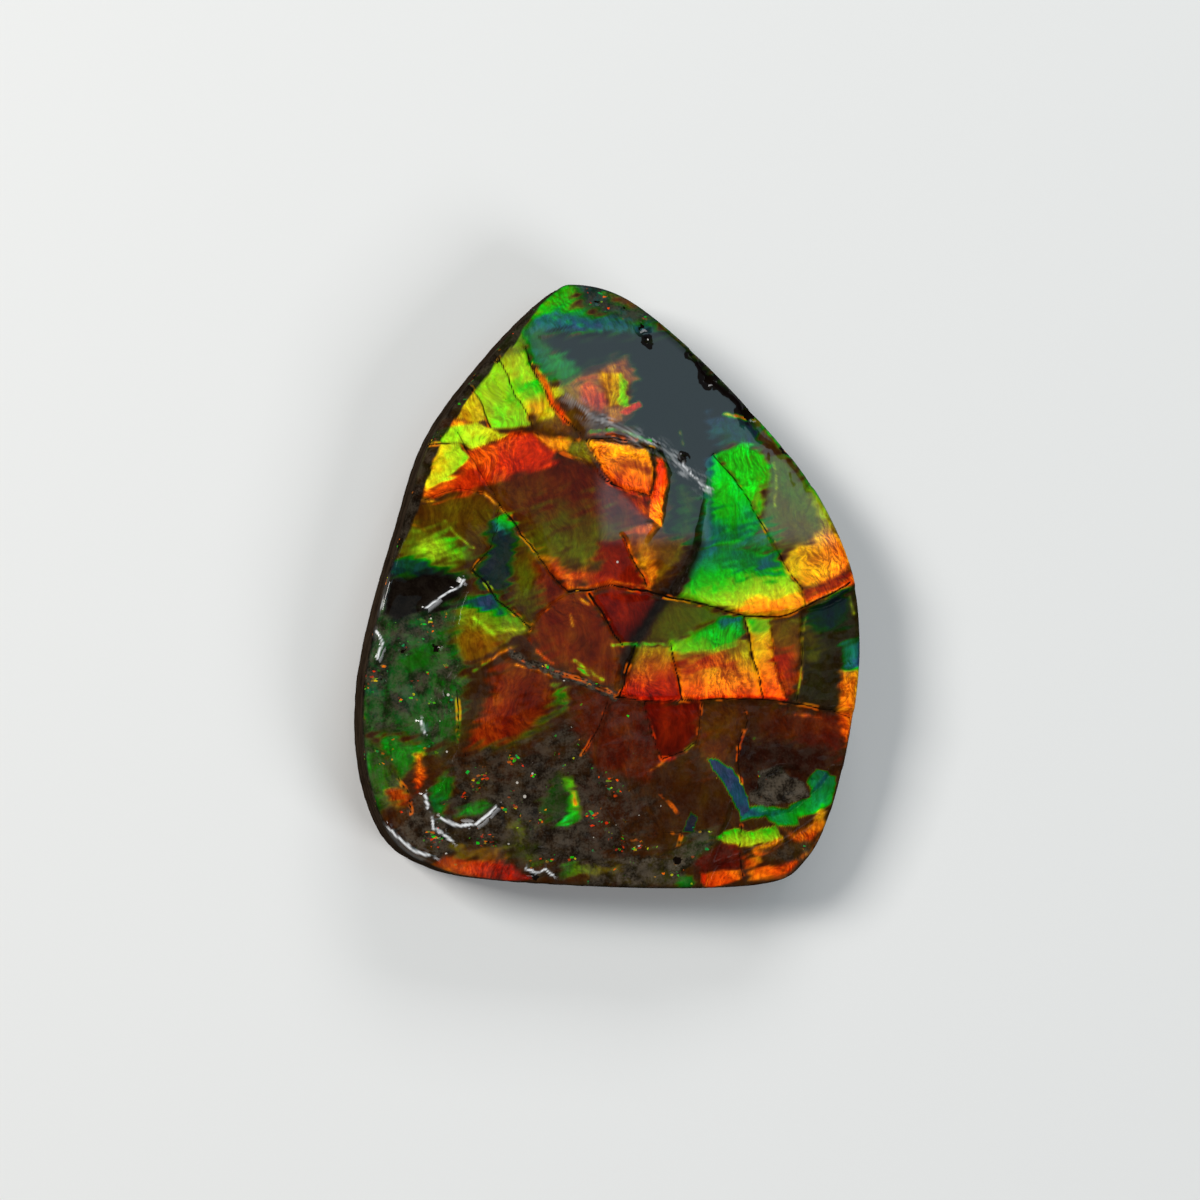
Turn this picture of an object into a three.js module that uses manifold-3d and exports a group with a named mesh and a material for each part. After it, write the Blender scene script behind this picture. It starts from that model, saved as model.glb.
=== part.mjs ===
// A polished hand piece of ammolite, the fossil mother-of-pearl of an ammonite, on its own bed of dark shale.
// It lies on its back with the shining face up. Millimetres, +Z up, +Y towards the pointed end of the face.
// The origin is under the middle of the piece, on the surface that it rests on.
import * as THREE from "three";
import { mergeVertices } from "three/addons/utils/BufferGeometryUtils.js";
import Module from "manifold-3d";

const wasm = await Module();
wasm.setup();

// Heights of the two layers
const shaleTop = 6.2;
const bondGap = 0.3;
const shellBase = shaleTop + bondGap;
const rimTop = 8.0;
const crownRise = 1.0;
const rimBevel = 0.55;
const domePower = 2.6;
const farBelow = -5;
const farAbove = 15;
const plateOverlap = 1.003;
const flatEnough = 0.015;

// The wall of each layer from its foot up: how far it is drawn in from the rim, and its height
const shellWall = [
  { inset: 0, z: shellBase },
  { inset: 0, z: 7.0 },
  { inset: 0.1, z: 7.55 },
  { inset: rimBevel, z: rimTop },
];
const shaleWall = [
  { inset: 0.9, z: 0 },
  { inset: 0.2, z: 1.0 },
  { inset: 0, z: 2.3 },
  { inset: 0, z: 3.6 },
  { inset: 0, z: 4.9 },
  { inset: 0, z: shaleTop },
];
const shellGrid = { columns: 38, rows: 44 };
const shaleGrid = { columns: 20, rows: 22 };

// The rim of the face, clockwise from the pointed end, as seen from above
const rimPoints = [
  [-3.9, 29.8], [1.1, 28.5], [7.5, 23.7], [14.2, 17.2], [19.9, 10.5], [23.9, 2.3], [24.9, -5.5],
  [24.0, -13.9], [22.0, -22.1], [19.5, -26.9], [15.5, -29.2], [3.8, -29.7], [-12.0, -28.9],
  [-18.4, -27.5], [-22.4, -24.6], [-24.7, -18.4], [-25.1, -11.0], [-23.8, -3.4], [-21.3, 5.4],
  [-18.1, 14.9], [-11.8, 23.4], [-6.5, 28.7],
];
const middle = new THREE.Vector2(0, -3);
const rimSteps = 720;

// Stretches of the shell that broke off its neighbours and stand higher or lower than them.
// lift is at the plate's hinge point, and slope is how much it climbs for each millimetre in x and y.
const plates = [
  {
    name: "lime panes at the upper left",
    outline: [[-8.8, 23.1], [-6.5, 17.4], [-8.0, 15.2], [-13.3, 14.5], [-18.1, 11.8], [-24, 14], [-14, 28]],
    lift: 0.3, hinge: [-8, 15], slope: [-0.012, 0],
  },
  {
    name: "orange fan in the middle of the top",
    outline: [[-8.5, 15.3], [4.2, 13.9], [5.3, 11.4], [4.7, 6.6], [2.9, 4.2], [-1.0, 9.6], [-5.3, 13.1]],
    lift: 0.26, hinge: [5, 10], slope: [0.01, 0.01],
  },
  {
    name: "emerald plate on the right",
    outline: [
      [9.3, 13.4], [9.0, 8.6], [8.1, 4.0], [5.9, -0.8], [8.7, -1.7], [13.2, -2.8], [17.7, -2.6],
      [20.9, -1.7], [28, 2.5], [27, 12], [17.7, 13.6], [14.9, 14.8], [11.2, 14.8],
    ],
    lift: 0.46, hinge: [14, -2.8], slope: [0, -0.026],
  },
  {
    name: "fire band under the emerald plate",
    outline: [
      [0.9, -5.9], [6.7, -5.9], [8.7, -3.9], [13.2, -2.9], [20.9, -1.8], [28, 2.4], [28, -12.4],
      [22.9, -12.0], [17.2, -11.4], [12.7, -11.1], [6.7, -11.3], [2.7, -11.4], [0, -10.6],
    ],
    lift: 0.14, hinge: [12, -11], slope: [0, -0.03],
  },
  {
    name: "ember floor below the fire band",
    outline: [
      [0, -10.7], [2.7, -11.5], [6.7, -11.4], [12.7, -11.2], [17.2, -11.5], [22.9, -12.1], [28, -12.5],
      [28, -18], [20.5, -19.4], [12.2, -21.7], [7.7, -26.4], [2.7, -27.4], [-1.3, -21.4], [-1.9, -15.4],
    ],
    lift: -0.38, hinge: [10, -12], slope: [0, -0.012],
  },
  {
    name: "broken corner at the lower left",
    outline: [
      [-28, 0.4], [-21.3, 1.3], [-17.3, 0.6], [-14.5, -0.6], [-15.5, -3.9], [-14.3, -7.4],
      [-17.1, -10.4], [-15.1, -15.4], [-17.3, -20.4], [-14.3, -24.7], [-5.3, -26.3], [3.7, -28.0],
      [4, -33], [-20, -33], [-28, -26],
    ],
    lift: -0.38, hinge: [-15, -10], slope: [0, 0],
  },
  {
    name: "upper terrace at the lower right",
    outline: [
      [11.7, -21.3], [14.7, -22.6], [17.7, -21.9], [20.5, -19.4], [22.2, -17.7], [27, -18], [24, -30],
      [9, -33], [9.8, -27.0],
    ],
    lift: -0.72, hinge: [14, -22], slope: [0, 0],
  },
  {
    name: "lower terrace at the lower right",
    outline: [[10.4, -27.2], [13.4, -26.2], [17.0, -25.2], [20.8, -22.6], [27, -21], [22, -33], [8, -33]],
    lift: -1.08, hinge: [15, -26], slope: [0, 0.01],
  },
  {
    name: "window down to the shale",
    outline: [
      [14.9, -18.6], [16.6, -17.6], [18.5, -17.7], [20.0, -19.0], [19.3, -20.5], [16.2, -21.5], [14.2, -20.4],
    ],
    lift: -0.95, hinge: [17, -20], slope: [0, 0],
  },
  {
    name: "chipped strip along the right rim",
    outline: [
      [7.7, 23.3], [9.0, 21.4], [10.3, 20.2], [12.5, 18.4], [13.5, 16.2], [14.9, 14.7], [17.7, 13.3],
      [19.7, 9.9], [22.5, 10.6], [14.7, 21.0], [8.7, 25.6],
    ],
    lift: -0.5, hinge: [14, 16], slope: [0, 0],
  },
];

// Low swells of the polished face: a place, a radius and how far it stands up or sinks
const swells = [
  { at: [-18.6, -2.2], radius: 3.4, rise: -0.55 },
  { at: [-22.4, -5.6], radius: 1.8, rise: 0.32 },
  { at: [-19.4, -9.8], radius: 2.6, rise: -0.45 },
  { at: [-17.0, -13.8], radius: 2.2, rise: 0.4 },
  { at: [-21.4, -18.4], radius: 2.4, rise: -0.3 },
  { at: [-14.6, -21.4], radius: 3.2, rise: -0.55 },
  { at: [-18.4, -24.2], radius: 1.8, rise: 0.35 },
  { at: [-9.0, -25.6], radius: 2.2, rise: 0.3 },
  { at: [-4.6, -21.0], radius: 3.2, rise: -0.35 },
  { at: [10.5, -19.4], radius: 3.0, rise: 0.22 },
  { at: [-11.6, 2.6], radius: 3.2, rise: -0.28 },
  { at: [3.4, -1.6], radius: 3.0, rise: -0.26 },
  { at: [5.5, 19.0], radius: 8.5, rise: 0.3 },
];

// A low crease runs over the upper face, where the polishing wheel met it at two angles
const crease = { from: [-5.2, 18.6], to: [9.0, 9.8], halfWidth: 1.2, rise: 0.24 };

// Pits and chips: small hollows broken out of the face and its edge
const pits = [
  { at: [-1.6, 28.0], size: [0.9, 0.6, 0.7], turn: 0.4 },
  { at: [2.9, 25.6], size: [1.1, 0.7, 0.8], turn: -0.5 },
  { at: [3.4, 24.4], size: [0.6, 0.9, 0.7], turn: 0.2 },
  { at: [9.6, 20.7], size: [0.8, 1.3, 1.1], turn: 0.5 },
  { at: [13.6, 17.2], size: [1.9, 0.9, 1.0], turn: -0.8 },
  { at: [17.4, 13.9], size: [2.1, 0.8, 0.9], turn: -0.9 },
  { at: [6.9, 12.8], size: [0.6, 0.5, 0.4], turn: 0 },
  { at: [-11.3, 21.8], size: [0.7, 0.6, 0.5], turn: 0.3 },
  { at: [-22.6, -9.4], size: [1.0, 0.6, 0.8], turn: 1.2 },
  { at: [-20.6, -6.6], size: [0.8, 0.5, 0.6], turn: 0.2 },
  { at: [-17.4, -6.2], size: [1.0, 0.8, 0.6], turn: 0.9 },
  { at: [-16.6, -24.6], size: [1.2, 0.7, 0.7], turn: -0.3 },
  { at: [6.4, -26.8], size: [1.3, 0.7, 0.7], turn: 0.6 },
  { at: [-7.6, -28.4], size: [1.5, 0.8, 0.9], turn: 0.1 },
];

// Open cracks that part the plates, each as a run of points and a width
const cracks = [
  { width: 0.42, path: [[-10.7, 6.9], [-8.4, 3.7], [-6.0, 0.9], [-4.3, -0.8]] },
  { width: 0.34, path: [[-2.9, -0.5], [-1.4, -2.6], [0.2, -5.0], [1.2, -5.8]] },
  { width: 0.4, path: [[-14.2, -1.0], [-11.2, -1.6], [-9.8, -3.0], [-8.8, -4.8]] },
  { width: 0.4, path: [[-10.3, -6.6], [-8.2, -7.9], [-4.6, -9.0], [-1.4, -10.3], [0, -10.8]] },
  { width: 0.36, path: [[-8.8, 22.8], [-7.9, 19.6], [-6.4, 17.4], [-4.0, 15.0]] },
  { width: 0.3, path: [[-11.2, 22.0], [-10.2, 19.2], [-8.4, 16.2]] },
  { width: 0.3, path: [[13.6, -3.2], [14.4, -6.4], [15.2, -9.8], [15.3, -10.9]] },
  { width: 0.3, path: [[6.7, -6.2], [7.1, -8.4], [7.7, -11.0]] },
  { width: 0.3, path: [[10.6, 13.0], [13.4, 9.6], [15.6, 5.8], [18.2, 2.6], [20.2, -1.4]] },
  { width: 0.34, path: [[0.8, 4.6], [2.0, 2.2], [3.4, 0.0]] },
];
const crackDepth = 0.45;
const bladeHeight = 2;
const bladeOverrun = 0.6; // of the crack's width, so that its stretches meet
const pitRaise = 0.15; // of the pit's height, so that its mouth is wider than its floor

// Flakes that came off the edge of the back: a place on the rim, a width, a reach inwards and a depth
const backFlakes = [
  { angle: 0.35, width: 15, reach: 4.4, depth: 1.5 },
  { angle: 1.15, width: 9, reach: 3.0, depth: 1.0 },
  { angle: 1.95, width: 17, reach: 5.4, depth: 1.8 },
  { angle: 3.3, width: 13, reach: 3.6, depth: 1.2 },
  { angle: 4.35, width: 18, reach: 4.8, depth: 1.7 },
  { angle: 5.4, width: 12, reach: 3.8, depth: 1.4 },
];

const rimCurve = new THREE.CatmullRomCurve3(
  rimPoints.map(([x, y]) => new THREE.Vector3(x, y, 0)), true, "catmullrom", 0.5,
);
const rimTable = rimCurve
  .getPoints(rimSteps)
  .map((p) => new THREE.Vector2(p.x, p.y).sub(middle))
  .map((p) => ({ angle: p.angle(), radius: p.length() }))
  .sort((a, b) => a.angle - b.angle);

// How far the rim is from the middle in one direction
function rimRadius(angle) {
  const turn = THREE.MathUtils.euclideanModulo(angle, 2 * Math.PI);
  let next = rimTable.findIndex((entry) => entry.angle >= turn);
  if (next <= 0) next = 0;
  const after = rimTable[next];
  const before = rimTable[(next + rimTable.length - 1) % rimTable.length];
  const span = THREE.MathUtils.euclideanModulo(after.angle - before.angle, 2 * Math.PI) || 1;
  const share = THREE.MathUtils.euclideanModulo(turn - before.angle, 2 * Math.PI) / span;
  return THREE.MathUtils.lerp(before.radius, after.radius, share);
}

function distanceToSegment(p, from, to) {
  const along = new THREE.Vector2(to[0] - from[0], to[1] - from[1]);
  const offset = new THREE.Vector2(p.x - from[0], p.y - from[1]);
  const share = THREE.MathUtils.clamp(offset.dot(along) / along.lengthSq(), 0, 1);
  return offset.addScaledVector(along, -share).length();
}

// The polished top without its plates: a low dome with swells, hollows and one crease
function faceHeight(x, y) {
  const p = new THREE.Vector2(x, y);
  const out = p.clone().sub(middle);
  const share = Math.min(1, out.length() / rimRadius(out.angle()));
  let z = rimTop + crownRise * (1 - share ** domePower);
  for (const swell of swells) {
    const d = p.distanceTo(new THREE.Vector2(...swell.at)) / swell.radius;
    z += swell.rise * Math.exp(-d * d);
  }
  const d = distanceToSegment(p, crease.from, crease.to) / crease.halfWidth;
  return z + crease.rise * Math.exp(-d * d);
}

function plateLift(plate, x, y) {
  return plate.lift + plate.slope[0] * (x - plate.hinge[0]) + plate.slope[1] * (y - plate.hinge[1]);
}

// A closed three.js geometry as a solid that can be cut and joined
function solid(geometry) {
  const bare = geometry.clone();
  bare.deleteAttribute("normal");
  bare.deleteAttribute("uv");
  const merged = mergeVertices(bare, 1e-4);
  return new wasm.Manifold(
    new wasm.Mesh({
      numProp: 3,
      vertProperties: new Float32Array(merged.attributes.position.array),
      triVerts: new Uint32Array(merged.index.array),
    }),
  );
}

// A finished solid as a three.js geometry, with its flat stretches merged
function geometryOf(body) {
  const mesh = body.asOriginal().simplify(flatEnough).getMesh();
  const geometry = new THREE.BufferGeometry();
  geometry.setAttribute("position", new THREE.BufferAttribute(new Float32Array(mesh.vertProperties), 3));
  geometry.setIndex(new THREE.BufferAttribute(new Uint32Array(mesh.triVerts), 1));
  geometry.computeVertexNormals();
  return geometry;
}

// A box whose square plan is spread out to the rim of the piece, with the rings of a wall as its levels.
// top(x, y) and bottom(x, y) give the heights of its two faces.
function spreadBox(grid, wall, top, bottom) {
  const last = wall.length - 1;
  const box = new THREE.BoxGeometry(2, 2, 2, grid.columns, grid.rows, last);
  const position = box.attributes.position;
  for (let i = 0; i < position.count; i += 1) {
    const p = new THREE.Vector3().fromBufferAttribute(position, i);
    const share = Math.max(Math.abs(p.x), Math.abs(p.y));
    const out = new THREE.Vector2(p.x, p.y);
    const ring = Math.round(((p.z + 1) / 2) * last);
    const reach = share === 0 ? 0 : share * (rimRadius(out.angle()) - wall[ring].inset);
    const place = middle.clone().addScaledVector(out.normalize(), reach);
    let height = wall[ring].z;
    if (ring === last) height = top(place.x, place.y);
    if (ring === 0) height = bottom(place.x, place.y);
    position.setXYZ(i, place.x, place.y, height);
  }
  return solid(box);
}

// The shell layer with its top raised by lift(x, y)
function shellSlab(lift) {
  const top = (x, y) => faceHeight(x, y) + lift(x, y);
  return spreadBox(shellGrid, shellWall, top, () => shellBase);
}

// A tall prism over an outline, grown a little about its own middle
function prism(outline, growth = 1) {
  const points = outline.map(([x, y]) => new THREE.Vector2(x, y));
  const own = points.reduce((sum, p) => sum.add(p), new THREE.Vector2()).divideScalar(points.length);
  const shape = new THREE.Shape(points.map((p) => p.clone().sub(own).multiplyScalar(growth).add(own)));
  const geometry = new THREE.ExtrudeGeometry(shape, { depth: farAbove - farBelow, bevelEnabled: false });
  return solid(geometry.translate(0, 0, farBelow));
}

function pitCutter(pit) {
  const geometry = new THREE.IcosahedronGeometry(1, 1);
  geometry.scale(...pit.size);
  geometry.rotateZ(pit.turn);
  geometry.translate(pit.at[0], pit.at[1], faceHeight(...pit.at) + pit.size[2] * pitRaise);
  return solid(geometry);
}

// A run of thin blades that cut one crack into the face
function crackCutter(crack) {
  const blades = crack.path.slice(1).map((to, i) => {
    const from = crack.path[i];
    const along = new THREE.Vector2(to[0] - from[0], to[1] - from[1]);
    const centre = [(from[0] + to[0]) / 2, (from[1] + to[1]) / 2];
    const length = along.length() + crack.width * bladeOverrun;
    const blade = new THREE.BoxGeometry(length, crack.width, bladeHeight);
    blade.rotateZ(along.angle());
    const floor = Math.min(faceHeight(...from), faceHeight(...to)) - crackDepth;
    blade.translate(centre[0], centre[1], floor + bladeHeight / 2);
    return solid(blade);
  });
  return blades.reduce((a, b) => a.add(b));
}

function shellLayer() {
  let body = shellSlab(() => 0);
  for (const plate of plates) {
    const lifted = shellSlab((x, y) => plateLift(plate, x, y));
    const replaced = lifted.intersect(prism(plate.outline, plateOverlap));
    body = body.subtract(prism(plate.outline)).add(replaced);
  }
  for (const crack of cracks) body = body.subtract(crackCutter(crack));
  for (const pit of pits) body = body.subtract(pitCutter(pit));
  return geometryOf(body);
}

// A faceted scoop that takes a flake off the bottom edge of the shale
function flakeCutter(flake) {
  const geometry = new THREE.IcosahedronGeometry(1, 1);
  geometry.scale(flake.reach, flake.width / 2, flake.depth);
  geometry.rotateZ(flake.angle);
  const reach = rimRadius(flake.angle);
  geometry.translate(middle.x + reach * Math.cos(flake.angle), middle.y + reach * Math.sin(flake.angle), 0);
  return solid(geometry);
}

function shaleBed() {
  let body = spreadBox(shaleGrid, shaleWall, () => shaleTop, () => 0);
  for (const flake of backFlakes) body = body.subtract(flakeCutter(flake));
  return geometryOf(body);
}

const specimen = new THREE.Group();

const ammolite = new THREE.Mesh(
  shellLayer(),
  new THREE.MeshStandardMaterial({ color: 0x9a4a12, roughness: 0.12, metalness: 0.25 }),
);
ammolite.name = "ammolite_shell";
specimen.add(ammolite);

const shale = new THREE.Mesh(
  shaleBed(),
  new THREE.MeshStandardMaterial({ color: 0x2f241b, roughness: 0.75, metalness: 0 }),
);
shale.name = "shale_matrix";
specimen.add(shale);

// The origin goes under the middle of the piece
const extent = new THREE.Box3().setFromObject(specimen);
specimen.position.set(-(extent.min.x + extent.max.x) / 2, -(extent.min.y + extent.max.y) / 2, 0);

export default specimen;
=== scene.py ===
import math
import bpy
import numpy as np
from mathutils import Matrix, Vector, noise


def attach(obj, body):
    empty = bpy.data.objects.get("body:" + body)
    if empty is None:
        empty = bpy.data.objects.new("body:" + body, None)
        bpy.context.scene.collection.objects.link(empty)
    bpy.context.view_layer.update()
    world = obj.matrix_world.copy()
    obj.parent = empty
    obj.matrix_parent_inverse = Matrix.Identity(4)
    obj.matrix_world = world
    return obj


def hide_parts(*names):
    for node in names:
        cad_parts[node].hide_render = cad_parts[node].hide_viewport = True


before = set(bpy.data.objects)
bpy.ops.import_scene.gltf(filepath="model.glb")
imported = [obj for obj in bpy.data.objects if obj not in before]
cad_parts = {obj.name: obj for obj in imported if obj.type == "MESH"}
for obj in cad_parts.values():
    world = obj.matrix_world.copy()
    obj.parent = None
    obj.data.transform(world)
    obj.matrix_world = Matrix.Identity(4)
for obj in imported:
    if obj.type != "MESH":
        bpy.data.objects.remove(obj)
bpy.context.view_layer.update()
print("frame loaded")

mm = 0.001  # every value below is in millimetres and is made metres as a mesh is placed

# the outline of the polished face, clockwise from its pointed end
rim = {
    "points": [
        (-3.9, 29.8), (1.1, 28.5), (7.5, 23.7), (14.2, 17.2), (19.9, 10.5), (23.9, 2.3), (24.9, -5.5),
        (24.0, -13.9), (22.0, -22.1), (19.5, -26.9), (15.5, -29.2), (3.8, -29.7), (-12.0, -28.9),
        (-18.4, -27.5), (-22.4, -24.6), (-24.7, -18.4), (-25.1, -11.0), (-23.8, -3.4), (-21.3, 5.4),
        (-18.1, 14.9), (-11.8, 23.4), (-6.5, 28.7),
    ],
    "middle": np.array((0.0, -3.0)),
    "steps": 40,
    # cracks and colours were laid out on the studio view, which narrows the face and shifts it by this much
    "markStretch": (1.02, 1.0),
    "markShift": (0.4, 0.0),
}


def closedCurve(points, steps):
    # a smooth closed line through the points
    knots = np.array(points, float)
    before, after = np.roll(knots, 1, axis=0), np.roll(knots, -1, axis=0)
    beyond = np.roll(knots, -2, axis=0)
    line = []
    for t in np.arange(steps) / steps:
        leave = (after - before) / 2
        arrive = (beyond - knots) / 2
        line.append(
            (2 * t**3 - 3 * t**2 + 1) * knots
            + (t**3 - 2 * t**2 + t) * leave
            + (3 * t**2 - 2 * t**3) * after
            + (t**3 - t**2) * arrive
        )
    return np.array(line).transpose(1, 0, 2).reshape(-1, 2)


rimLine = closedCurve(rim["points"], rim["steps"])
rimOut = rimLine - rim["middle"]
rimAngles = np.arctan2(rimOut[:, 1], rimOut[:, 0])
rimRadii = np.hypot(rimOut[:, 0], rimOut[:, 1])
centring = -(rimLine.min(0) + rimLine.max(0)) / 2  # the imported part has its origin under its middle


def rimReach(angles):
    return np.interp(angles, rimAngles, rimRadii, period=2 * math.pi)


def segmentDistance(points, start, end):
    start, end = np.array(start, float), np.array(end, float)
    along = end - start
    share = np.clip((points - start) @ along / (along @ along), 0, 1)
    return np.hypot(*(points - start - share[:, None] * along).T)


def lineDistance(points, line):
    return np.min([segmentDistance(points, a, b) for a, b in zip(line, line[1:])], axis=0)


def insideShare(points, outline, soft, stray=0.0):
    # 1 inside the outline, 0 outside it, with an edge that is soft on both sides and feathered by stray
    x, y = points.T
    inside = np.zeros(len(points), bool)
    for (ax, ay), (bx, by) in zip(outline, outline[1:] + outline[:1]):
        if ay != by:
            crosses = (ay > y) != (by > y)
            inside ^= crosses & (x < (bx - ax) * (y - ay) / (by - ay) + ax)
    away = lineDistance(points, outline + outline[:1])
    share = np.clip(0.5 + (np.where(inside, away, -away) / soft + stray) / 2, 0, 1)
    return share * share * (3 - 2 * share)


def noiseAt(points, size, seed):
    # smooth noise of about -1 to 1 whose lumps are size millimetres wide; each use has a seed of its own
    return np.array([noise.noise((x / size, y / size, seed)) for x, y in points])


def wobble(points, size, amount, seed):
    # the same points, each pushed aside a little, so that straight outlines become natural ones
    push = np.array([noise.noise_vector((x / size, y / size, seed))[:2] for x, y in points])
    return points + amount * push


def marksOf(places):
    # where a place lies among the drawn lines, with one unevenness for all of them, so that they still meet
    marks = (places + np.array(rim["markShift"])) / np.array(rim["markStretch"])
    return wobble(wobble(marks, 2.6, 0.2, 10.0), 0.7, 0.1, 11.0)


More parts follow.
